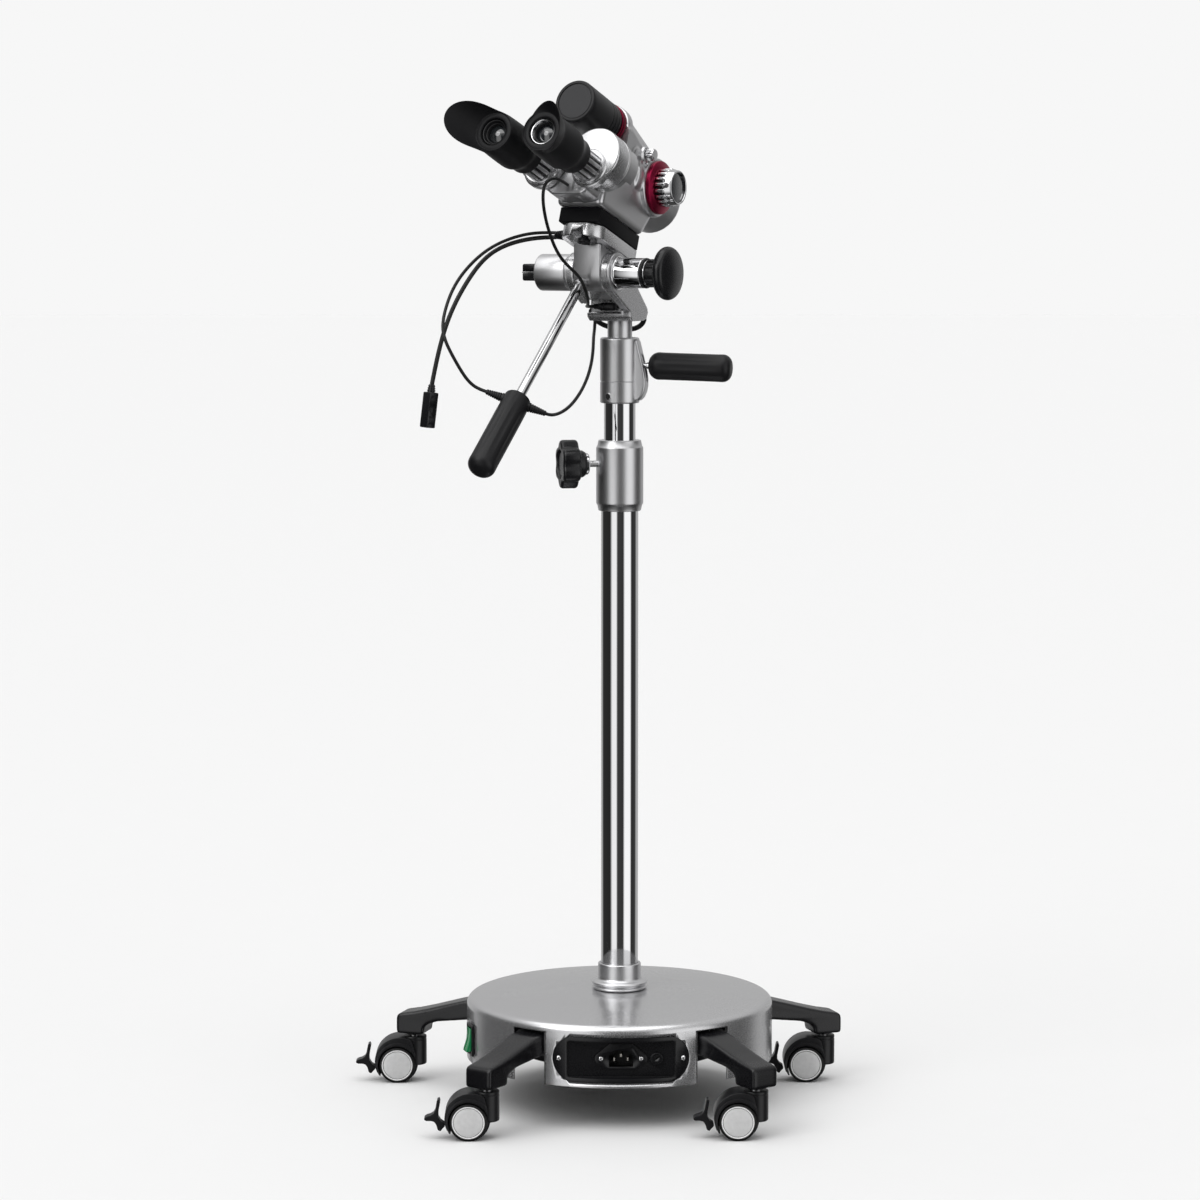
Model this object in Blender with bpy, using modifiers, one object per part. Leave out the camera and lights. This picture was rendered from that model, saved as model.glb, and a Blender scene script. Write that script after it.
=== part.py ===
"""Colposcope on a five-caster floor stand.

Units are metres, +Z is up and the operator stands on the -Y side. The stand is
built around its column. When every piece is made, the whole object is moved so
that the middle of its footprint is at the origin and its wheels touch Z = 0.
"""
import math

import bmesh
import bpy
from mathutils import Vector

MM = 0.001
GAP = 0.3 * MM
MERGE = 0.00005
FINE = 44
ROUND = 20
SMALL = 14
TINY = 8

# Five-legged base
LEGS = 5
LEG_CIRCLE_R = 225.7 * MM
HUB_R = 110 * MM
HUB_BOTTOM = 52 * MM
HUB_TOP = 72 * MM
SOCKET_DEPTH = 12 * MM
ARM_ROOT_R = 70 * MM
ARM_HALF_WIDTH = 18 * MM
ARM_END_HALF_WIDTH = 15.5 * MM
ARM_TOP = 95 * MM
ARM_END_TOP = 73 * MM
ARM_END_BOTTOM = 52 * MM
ARM_EDGE = 2.5 * MM

# Painted cover
COVER_R = 157.5 * MM
COVER_WALL = 2 * MM
COVER_BOTTOM = 43 * MM
COVER_EDGE_TOP = 106 * MM
COVER_EDGE_FILLET = 8 * MM
COVER_CENTRE_TOP = 112.7 * MM
COVER_FLAT_R = 31 * MM
WINDOW_TOP = 97 * MM
WINDOW_SIDE_CLEARANCE = 1 * MM

# Power inlet panel and mains switch
PANEL_LENGTH = COVER_R * 0.8635
PANEL_HEIGHT = 45 * MM
PANEL_Z = 71.6 * MM
PANEL_BACK = COVER_R - 17.5 * MM
PANEL_PROUD = 0.6 * MM
RECESS_LENGTH = PANEL_LENGTH - 28 * MM
RECESS_HEIGHT = 37 * MM
RECESS_FACE = COVER_R - 11 * MM
INLET_WIDTH = 24 * MM
INLET_HEIGHT = 16.5 * MM
INLET_DEPTH = 16 * MM
INLET_BODY_WIDTH = 34 * MM
INLET_BODY_HEIGHT = 26 * MM
PIN_SPACING = 7 * MM
PIN_DROP = 4 * MM
PIN_MOUTH_SETBACK = 5.5 * MM
FUSE_X = 35.5 * MM
FUSE_R = 6.2 * MM
FUSE_HEIGHT = 3 * MM
SWITCH_TURN = math.radians(-74)
SWITCH_Z = 68.5 * MM
SWITCH_WIDTH = 22 * MM
SWITCH_HEIGHT = 32 * MM
SWITCH_FRAME = 3.4 * MM
SWITCH_FLANGE = 2 * MM
SWITCH_DEPTH = 17 * MM
ROCKER_PLAY = 0.6 * MM
ROCKER_PIVOT_DEPTH = 3 * MM

# Casters
CASTER_TRAIL = 18 * MM
WHEEL_R = 19 * MM
WHEEL_HALF_WIDTH = 16 * MM
WHEEL_WEB_HALF = 2.6 * MM
WHEEL_CLEARANCE = 1.2 * MM
AXLE_R = 3 * MM
HOUSING_R = 12.5 * MM
HOUSING_TOP = 48.5 * MM
STEM_R = 5.5 * MM
STEM_PIN_R = 4 * MM
STEM_PIN_TOP = 66 * MM
HOOD_R = 28 * MM
HOOD_REAR_R = 23.5 * MM
HOOD_HALF_WIDTH = 16.5 * MM
PEDAL_HALF_WIDTH = 6 * MM

# Column
TUBE_R = 19 * MM
TUBE_WALL = 2.5 * MM
TUBE_TOP = 637 * MM
FERRULE_BOTTOM = 113 * MM
FERRULE_TOP = 140 * MM
FERRULE_FLANGE_R = 28.5 * MM
FERRULE_R = 22 * MM
COLLAR_R = 24 * MM
COLLAR_BOTTOM = 607 * MM
COLLAR_TOP = 679 * MM
COLLAR_CHAMFER = 4 * MM
COLLAR_CHAMFER_HEIGHT = 6 * MM
SLIDER_R = 16 * MM
SLIDER_WALL = 2 * MM
SLIDER_BOTTOM = 350 * MM
LOCK_BOTTOM = 716.6 * MM
LOCK_TOP = 783 * MM
LOCK_R = 20 * MM
LOCK_STEP = 736 * MM
LOCK_SEAM_Z = 738.5 * MM
LOCK_TURN = math.radians(-14)
LOBE_HALF_WIDTH = 9 * MM
SLOT_HALF_WIDTH = 2.8 * MM
SLOT_BOTTOM = 739 * MM
SLOT_TOP = 762 * MM
LEVER_Z = 755 * MM
LEVER_PIVOT_X = 19 * MM
LEVER_STEM_R = 2.5 * MM
LEVER_GRIP_R = 14 * MM
LEVER_GRIP_START = 30.5 * MM
LEVER_GRIP_END = 116 * MM
LEVER_DROOP = math.radians(1.5)
NECK_R = 12.5 * MM
NECK_SOCKET = 10 * MM

# Clamp knob on the lower collar
CLAMP_Z = 655 * MM
CLAMP_TURN = math.radians(192)
CLAMP_STEM_R = 3.3 * MM
CLAMP_WASHER_R = 11 * MM
CLAMP_HUB_R = 13.8 * MM
CLAMP_HUB_START = 36 * MM
CLAMP_LOBES_START = 44 * MM
CLAMP_LOBES_END = 62.5 * MM
CLAMP_R = 25 * MM

# Head, its swivel and its tilt
HEAD_TURN = math.radians(-29.5)
TILT_SETBACK = 50 * MM
TILT_Z = 849 * MM
TILT_REST = math.radians(20)
CORNER_ROOM = 2.8 * MM
CORNER_SWEEP_TOP = 1.5 * MM
CHEEK_R = 20 * MM
CHEEK_IN = 16 * MM
CHEEK_OUT = 25 * MM
BRACKET_BOTTOM = 800 * MM
AXLE_CORE_R = 6 * MM
BLOCK_R = 18.5 * MM
BLOCK_HALF_WIDTH = 15.3 * MM
BARREL_R = 18.5 * MM
BARREL_END = 62 * MM
TENSION_SIZE = 17 * MM
TENSION_END = 81 * MM
SIDE_TUBE_R = 15 * MM
SIDE_TUBE_END = 66 * MM
KNOB_HUB_R = 15 * MM
KNOB_R = 27 * MM
KNOB_DISC = 78 * MM
KNOB_END = 93 * MM

# Handle
HANDLE_SIDE = 9 * MM
HANDLE_OFFSET = 1.7 * MM
HANDLE_ANGLE = math.radians(48.5)
HANDLE_ROD_R = 5 * MM
HANDLE_ROD_START = 14 * MM
GRIP_START = 180 * MM
GRIP_END = 284 * MM
GRIP_R = 14 * MM
RELIEF_DROP = 9 * MM
RELIEF_REACH = 31 * MM
RELIEF_TURN = math.radians(26.5)

# Optical head, along its own axes: u right, v forward, w up
PLATE_BOTTOM = 22 * MM
PLATE_TOP = 35.7 * MM
PLATE_HALF_WIDTH = 23 * MM
PLATE_BACK = -50.5 * MM
PLATE_FRONT = 34.5 * MM
SPACER_TOP = 51.3 * MM
BODY_HALF_WIDTH = 28 * MM
BODY_BACK = -57 * MM
OPTIC_W = 105 * MM
OBJECTIVE_R = 30 * MM
OBJECTIVE_END = 94 * MM
MAG_V = 40 * MM
MAG_BOSS_U = 31 * MM
MAG_RING_R = 27 * MM
MAG_RING_END = 37 * MM
MAG_KNOB_R = 19.5 * MM
MAG_KNOB_END = 55 * MM
MAG_FLUTES = 10
FILTER_V = 10 * MM
FILTER_W = 129 * MM
FILTER_END = 39 * MM
PORT_W = 145 * MM
PORT_R = 22 * MM
PORT_END = -98 * MM
PORT_START = -36 * MM
PORT_RING_FRONT = -28 * MM
PRISM_U = 29 * MM
PRISM_W = 91 * MM
PRISM_R = 28 * MM
PRISM_FACE = -92 * MM
PRISM_BACK = -66 * MM
EYE_U = 27 * MM
EYE_W = 77 * MM
EYE_TUBE_R = 14.5 * MM
EYE_TUBE_END = -133 * MM
EYE_FLUTES = 10
CUP_START = -124 * MM
CUP_RIM = -190 * MM
CUP_R = 22 * MM
CUP_WALL = 2.4 * MM
CUP_WING = 44 * MM
EYE_WING_LIFT = {-1: 18, 1: 68}
GLAND_W = 28.5 * MM
GLAND_R = 4.6 * MM
GLAND_LENGTH = 11 * MM

# Cable thicknesses
SUPPLY_CABLE_R = 1.65 * MM
LEAD_CABLE_R = 2.2 * MM
LOOP_CABLE_R = 2.6 * MM

ALONG_X = (0, math.radians(90), 0)
ALONG_MINUS_X = (0, math.radians(-90), 0)
ALONG_Y = (math.radians(-90), 0, 0)
ALONG_MINUS_Y = (math.radians(90), 0, 0)
SIDE_VIEW = (math.radians(90), 0, math.radians(90))
FRONT_VIEW = (math.radians(90), 0, 0)


def clear_scene():
    for obj in list(bpy.data.objects):
        bpy.data.objects.remove(obj, do_unlink=True)


def new_collection(name):
    group = bpy.data.collections.new(name)
    bpy.context.scene.collection.children.link(group)
    return group


def new_material(name, colour, roughness, metallic=0.0, alpha=1.0):
    material = bpy.data.materials.new(name)
    material.use_nodes = True
    shader = material.node_tree.nodes["Principled BSDF"]
    shader.inputs["Base Color"].default_value = (*colour, 1.0)
    shader.inputs["Roughness"].default_value = roughness
    shader.inputs["Metallic"].default_value = metallic
    shader.inputs["Alpha"].default_value = alpha
    material.diffuse_color = (*colour, alpha)
    return material


def new_empty(name, parent, location=(0, 0, 0), rotation=(0, 0, 0)):
    empty = bpy.data.objects.new(name, None)
    empty.empty_display_size = 0.02
    PARTS.objects.link(empty)
    empty.parent = parent
    empty.location = location
    empty.rotation_euler = rotation
    return empty


def add_object(name, mesh, material, parent, location=(0, 0, 0), rotation=(0, 0, 0)):
    """Put a mesh in the parts collection, or with no material in the cutters."""
    obj = bpy.data.objects.new(name, mesh)
    obj.parent = parent
    obj.location = location
    obj.rotation_euler = rotation
    if material is None:
        CUTTERS.objects.link(obj)
        obj.hide_render = True
        obj.display_type = 'WIRE'
    else:
        PARTS.objects.link(obj)
        mesh.materials.clear()
        mesh.materials.append(material)
    return obj


def arc(centre_x, centre_y, radius, start, end, steps=6):
    """Points along an arc, with its angles in degrees."""
    points = []
    for i in range(steps + 1):
        angle = math.radians(start + (end - start) * i / steps)
        points.append((centre_x + radius * math.cos(angle), centre_y + radius * math.sin(angle)))
    return points


def smooth_shade(mesh, angle=35):
    mesh.shade_smooth()
    mesh.set_sharp_from_angle(angle=math.radians(angle))


def turned(name, profile, material, parent, location=(0, 0, 0), rotation=(0, 0, 0),
           closed=False, steps=ROUND):
    """Spin a profile of (radius, height) points, outer side top to bottom."""
    mesh = bpy.data.meshes.new(name)
    count = len(profile)
    edges = [(i, i + 1) for i in range(count - 1)]
    if closed:
        edges.append((count - 1, 0))
    mesh.from_pydata([(r, 0, z) for r, z in profile], edges, [])
    obj = add_object(name, mesh, material, parent, location, rotation)
    spin = obj.modifiers.new("Turn", 'SCREW')
    spin.axis = 'Z'
    spin.steps = steps
    spin.render_steps = steps
    spin.use_merge_vertices = True
    spin.merge_threshold = MERGE
    spin.use_smooth_shade = False
    return obj


def ring_profile(inner, outer, bottom, top, edge=0.0):
    """Closed section of a ring, with its two outer edges bevelled."""
    return [(inner, top), (outer - edge, top), (outer, top - edge),
            (outer, bottom + edge), (outer - edge, bottom), (inner, bottom)]


def rod_profile(radius, bottom, top, edge=0.0):
    """Open section of a solid rod, with both ends bevelled."""
    points = [(0, top), (radius - edge, top), (radius, top - edge),
              (radius, bottom + edge), (radius - edge, bottom), (0, bottom)]
    if edge == 0:
        points = [(0, top), (radius, top), (radius, bottom), (0, bottom)]
    return points


def slab(name, outline, low, high, material, parent, location=(0, 0, 0), rotation=(0, 0, 0)):
    """Extrude a flat outline between two heights along its own Z axis."""
    curve = bpy.data.curves.new(name, 'CURVE')
    curve.dimensions = '2D'
    curve.fill_mode = 'BOTH'
    curve.extrude = (high - low) / 2
    spline = curve.splines.new('POLY')
    spline.points.add(len(outline) - 1)
    for point, (x, y) in zip(spline.points, outline):
        point.co = (x, y, 0, 1)
    spline.use_cyclic_u = True
    source = bpy.data.objects.new(name + "_outline", curve)
    bpy.context.scene.collection.objects.link(source)
    graph = bpy.context.evaluated_depsgraph_get()
    mesh = bpy.data.meshes.new_from_object(source.evaluated_get(graph))
    bpy.data.objects.remove(source, do_unlink=True)
    work = bmesh.new()
    work.from_mesh(mesh)
    bmesh.ops.remove_doubles(work, verts=work.verts, dist=MERGE)
    bmesh.ops.translate(work, verts=work.verts, vec=(0, 0, (low + high) / 2))
    bmesh.ops.recalc_face_normals(work, faces=work.faces)
    if work.calc_volume(signed=True) < 0:
        bmesh.ops.reverse_faces(work, faces=work.faces)
    work.to_mesh(mesh)
    work.free()
    mesh.name = name
    return add_object(name, mesh, material, parent, location, rotation)


def block(name, low, high, material, parent, location=(0, 0, 0), rotation=(0, 0, 0)):
    """Box between two corners."""
    mesh = bpy.data.meshes.new(name)
    work = bmesh.new()
    bmesh.ops.create_cube(work, size=1.0)
    size = Vector(high) - Vector(low)
    bmesh.ops.scale(work, verts=work.verts, vec=size)
    bmesh.ops.translate(work, verts=work.verts, vec=(Vector(low) + Vector(high)) / 2)
    work.to_mesh(mesh)
    work.free()
    return add_object(name, mesh, material, parent, location, rotation)


def bevel(obj, width, segments=2, angle=40):
    edge = obj.modifiers.new("Edges", 'BEVEL')
    edge.width = width
    edge.segments = segments
    edge.limit_method = 'ANGLE'
    edge.angle_limit = math.radians(angle)
    return obj


def combine(obj, tool, operation, solver):
    """Boolean with a tool that stays in the cutters collection."""
    for group in list(tool.users_collection):
        group.objects.unlink(tool)
    CUTTERS.objects.link(tool)
    tool.hide_render = True
    tool.display_type = 'WIRE'
    change = obj.modifiers.new(operation.title(), 'BOOLEAN')
    change.operation = operation
    change.solver = solver
    change.object = tool
    return obj


def cut(obj, tool, solver='EXACT'):
    return combine(obj, tool, 'DIFFERENCE', solver)


def join(obj, tool, solver='EXACT'):
    return combine(obj, tool, 'UNION', solver)


def keep_common(obj, tool, solver='EXACT'):
    return combine(obj, tool, 'INTERSECT', solver)


def smooth_route(points, spacing):
    """Points at even steps along a smooth curve through the given ones."""
    knots = [Vector(p) for p in points]
    knots = [knots[0] * 2 - knots[1]] + knots + [knots[-1] * 2 - knots[-2]]
    dense = []
    for i in range(1, len(knots) - 2):
        for j in range(12):
            t = j / 12
            a, b, c, d = knots[i - 1:i + 3]
            dense.append(0.5 * ((2 * b) + (c - a) * t + (2 * a - 5 * b + 4 * c - d) * t ** 2
                                + (3 * b - a - 3 * c + d) * t ** 3))
    dense.append(knots[-2])
    length = sum((q - p).length for p, q in zip(dense, dense[1:]))
    count = max(2, round(length / spacing))
    result = [dense[0]]
    travelled = 0.0
    for p, q in zip(dense, dense[1:]):
        step = (q - p).length
        while len(result) < count and travelled + step >= length * len(result) / count:
            share = (length * len(result) / count - travelled) / step
            result.append(p.lerp(q, share))
        travelled += step
    result.append(dense[-1])
    return result


def cable(name, points_mm, radius, material, parent, spacing=10 * MM):
    """Round cable through hand-chosen points, given in millimetres."""
    route = smooth_route([Vector(p) * MM for p in points_mm], spacing)
    curve = bpy.data.curves.new(name, 'CURVE')
    curve.dimensions = '3D'
    curve.bevel_depth = radius
    curve.bevel_resolution = 2
    curve.use_fill_caps = True
    spline = curve.splines.new('POLY')
    spline.points.add(len(route) - 1)
    for point, place in zip(spline.points, route):
        point.co = (*place, 1)
    obj = bpy.data.objects.new(name, curve)
    PARTS.objects.link(obj)
    curve.materials.append(material)
    obj.parent = parent
    return obj


# Base

def arm_tool(index, parent):
    """One arm: a side outline kept where a plan outline also lies."""
    turn = (0, 0, math.radians(-90 + 360 / LEGS * (index + 0.5)))
    frame = new_empty(f"leg_frame_{index + 1}", parent, rotation=turn)
    end = LEG_CIRCLE_R + ARM_END_HALF_WIDTH
    boss = LEG_CIRCLE_R - ARM_END_HALF_WIDTH
    side = [(ARM_ROOT_R, HUB_TOP - 8 * MM), (HUB_R - 2 * MM, HUB_TOP - 8 * MM),
            (HUB_R + 3 * MM, HUB_TOP), (COVER_R, HUB_TOP), (boss - 6 * MM, ARM_END_BOTTOM + 13 * MM),
            (boss, ARM_END_BOTTOM + 9 * MM), (boss + 1 * MM, ARM_END_BOTTOM), (end, ARM_END_BOTTOM),
            (end, ARM_END_TOP - 3 * MM), (end - 3 * MM, ARM_END_TOP),
            (boss + 2 * MM, ARM_END_TOP + 5 * MM), (COVER_R + 2 * MM, ARM_TOP - 2 * MM),
            (COVER_R - 12 * MM, ARM_TOP), (ARM_ROOT_R, ARM_TOP)]
    tool = slab(f"arm_side_{index + 1}", side, -ARM_HALF_WIDTH, ARM_HALF_WIDTH, None, frame,
                rotation=FRONT_VIEW)
    corner = 9 * MM
    plan = [(ARM_ROOT_R - MM, -ARM_HALF_WIDTH - MM), (COVER_R, -ARM_HALF_WIDTH)]
    plan += arc(end - corner, -ARM_END_HALF_WIDTH + corner, corner, -90, 0, 3)
    plan += arc(end - corner, ARM_END_HALF_WIDTH - corner, corner, 0, 90, 3)
    plan += [(COVER_R, ARM_HALF_WIDTH), (ARM_ROOT_R - MM, ARM_HALF_WIDTH + MM)]
    shape = slab(f"arm_plan_{index + 1}", plan, HUB_BOTTOM - 5 * MM, ARM_TOP + 5 * MM, None, frame)
    keep_common(tool, shape)
    bevel(tool, ARM_EDGE, 1, 35)
    bore = turned(f"arm_bore_{index + 1}",
                  rod_profile(STEM_PIN_R + GAP, ARM_END_BOTTOM - 5 * MM, STEM_PIN_TOP + GAP), None,
                  frame, location=(LEG_CIRCLE_R, 0, 0), steps=SMALL)
    return tool, bore


def make_star_base(parent):
    star = turned("star_base", rod_profile(HUB_R, HUB_BOTTOM, HUB_TOP, 2 * MM), MATERIALS["arm"],
                  parent)
    for index in range(LEGS):
        arm, bore = arm_tool(index, parent)
        join(star, arm)
        cut(star, bore)
    socket = turned("hub_socket", rod_profile(TUBE_R + GAP, HUB_TOP - SOCKET_DEPTH, HUB_TOP + MM),
                    None, parent)
    cut(star, socket)
    return star


def oblong(length, height, steps=6):
    """Outline with flat top and bottom and arcs that bulge at both ends."""
    half = height / 2
    bulge = 16 * MM
    radius = (half ** 2 + bulge ** 2) / (2 * bulge)
    reach = math.degrees(math.asin(half / radius))
    points = arc(length / 2 - radius, 0, radius, -reach, reach, steps)
    points += arc(-length / 2 + radius, 0, radius, 180 - reach, 180 + reach, steps)
    return points


def make_cover(parent):
    inner_r = COVER_R - COVER_WALL
    fillet = COVER_EDGE_FILLET
    inner_fillet = fillet - COVER_WALL
    hole = TUBE_R + GAP
    top_edge = COVER_R - fillet
    drop = COVER_WALL
    profile = [(hole, COVER_CENTRE_TOP), (COVER_FLAT_R, COVER_CENTRE_TOP),
               (COVER_R * 0.62, COVER_EDGE_TOP + (COVER_CENTRE_TOP - COVER_EDGE_TOP) * 0.68)]
    profile += [(x, z) for x, z in arc(top_edge, COVER_EDGE_TOP - fillet, fillet, 87, 0, 3)]
    profile += [(COVER_R, COVER_BOTTOM), (inner_r, COVER_BOTTOM)]
    profile += [(x, z) for x, z in arc(top_edge, COVER_EDGE_TOP - fillet, inner_fillet, 0, 87, 1)]
    profile += [(COVER_R * 0.62, COVER_EDGE_TOP + (COVER_CENTRE_TOP - COVER_EDGE_TOP) * 0.68 - drop),
                (COVER_FLAT_R, COVER_CENTRE_TOP - drop), (hole, COVER_CENTRE_TOP - drop)]
    cover = turned("base_cover", profile, MATERIALS["paint"], parent, closed=True, steps=FINE)
    half = ARM_HALF_WIDTH + WINDOW_SIDE_CLEARANCE
    for index in range(LEGS):
        turn = (0, 0, math.radians(-90 + 360 / LEGS * (index + 0.5)))
        window = block(f"leg_window_{index + 1}", (HUB_R, -half, COVER_BOTTOM - 5 * MM),
                       (COVER_R + 5 * MM, half, WINDOW_TOP), None, parent, rotation=turn)
        cut(cover, window)
    opening = slab("panel_opening", oblong(PANEL_LENGTH + 2 * GAP, PANEL_HEIGHT + 2 * GAP),
                   PANEL_BACK - 12 * MM, COVER_R + 5 * MM, None, parent,
                   location=(0, 0, PANEL_Z), rotation=FRONT_VIEW)
    cut(cover, opening)
    body = SWITCH_WIDTH / 2 - 2 * MM + GAP
    tall = SWITCH_HEIGHT / 2 - 2 * MM + GAP
    switch_hole = block("switch_opening", (-body, -COVER_R - 5 * MM, SWITCH_Z - tall),
                        (body, -COVER_R + 12 * MM, SWITCH_Z + tall), None, parent,
                        rotation=(0, 0, SWITCH_TURN))
    cut(cover, switch_hole)
    return cover


def make_inlet_panel(parent):
    place = {"location": (0, 0, PANEL_Z), "rotation": FRONT_VIEW}
    panel = slab("inlet_panel", oblong(PANEL_LENGTH, PANEL_HEIGHT), PANEL_BACK,
                 COVER_R + 3 * MM, MATERIALS["panel"], parent, **place)
    curved = turned("panel_front", rod_profile(COVER_R + PANEL_PROUD, COVER_BOTTOM - 5 * MM,
                                               WINDOW_TOP + 5 * MM), None, parent, steps=FINE)
    keep_common(panel, curved)
    length = RECESS_LENGTH / 2
    height = RECESS_HEIGHT / 2
    recess = block("panel_recess", (-length, -COVER_R - 9 * MM, PANEL_Z - height),
                   (length, -RECESS_FACE, PANEL_Z + height), None, parent)
    cut(panel, recess)
    wide = INLET_BODY_WIDTH / 2
    tall = INLET_BODY_HEIGHT / 2
    floor = -RECESS_FACE + INLET_DEPTH
    body = block("inlet_body", (-wide, -PANEL_BACK - 2 * MM, PANEL_Z - tall),
                 (wide, floor + 4 * MM, PANEL_Z + tall), None, parent)
    join(panel, body)
    wide = INLET_WIDTH / 2
    tall = INLET_HEIGHT / 2
    shoulder = 5 * MM
    mouth = [(-wide, -tall), (wide, -tall), (wide, tall - shoulder), (wide - shoulder, tall),
             (-wide + shoulder, tall), (-wide, tall - shoulder)]
    socket = slab("inlet_socket", mouth, -floor, RECESS_FACE + 2 * MM, None, parent, **place)
    cut(panel, socket)
    for side, lift in ((-1, -PIN_DROP / 2), (0, PIN_DROP / 2), (1, -PIN_DROP / 2)):
        middle = side * PIN_SPACING
        pin = block(f"inlet_pin_{side + 2}", (middle - MM, -RECESS_FACE + PIN_MOUTH_SETBACK,
                                              PANEL_Z + lift - 2 * MM),
                    (middle + MM, floor + 2 * MM, PANEL_Z + lift + 2 * MM), None, parent)
        join(panel, pin)
    fuse = turned("fuse_cap", rod_profile(FUSE_R, -2 * MM, FUSE_HEIGHT, 0.8 * MM), None, parent,
                  location=(FUSE_X, -RECESS_FACE, PANEL_Z), rotation=ALONG_MINUS_Y, steps=SMALL)
    join(panel, fuse)
    return panel


def make_switch(parent):
    """Mains switch: a framed body in the cover and its green rocker."""
    face = COVER_R + SWITCH_FLANGE + 0.6 * MM
    frame = new_empty("switch_frame", parent, location=(0, 0, SWITCH_Z), rotation=(0, 0, SWITCH_TURN))
    wide = SWITCH_WIDTH / 2
    tall = SWITCH_HEIGHT / 2
    bezel = block("switch_bezel", (-wide, -face, -tall), (wide, -face + SWITCH_FLANGE, tall),
                  MATERIALS["panel"], frame)
    bevel(bezel, 0.7 * MM, 1)
    body = block("switch_body", (-wide + 2 * MM, -face + MM, -tall + 2 * MM),
                 (wide - 2 * MM, -face + SWITCH_DEPTH, tall - 2 * MM), None, frame)
    join(bezel, body)
    in_wide = wide - SWITCH_FRAME
    in_tall = tall - SWITCH_FRAME
    well = block("switch_well", (-in_wide, -face - 5 * MM, -in_tall),
                 (in_wide, -face + SWITCH_DEPTH - 5 * MM, in_tall), None, frame)
    cut(bezel, well)
    pivot = new_empty("rocker_pivot", frame, location=(0, -face + ROCKER_PIVOT_DEPTH, 0))
    reach = in_tall - ROCKER_PLAY
    depth = ROCKER_PIVOT_DEPTH
    side = [(0, 8 * MM), (-reach + MM, 0.5 * MM), (-reach, -depth - 0.6 * MM),
            (0, -depth - MM), (reach, -depth - 5 * MM), (reach - MM, 0.5 * MM)]
    outline = [(y, z) for z, y in side]
    rocker = slab("switch_rocker", outline, -in_wide + ROCKER_PLAY, in_wide - ROCKER_PLAY,
                  MATERIALS["green"], pivot, rotation=SIDE_VIEW)
    bevel(rocker, 0.4 * MM, 1)
    return bezel, rocker


# Casters

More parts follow.
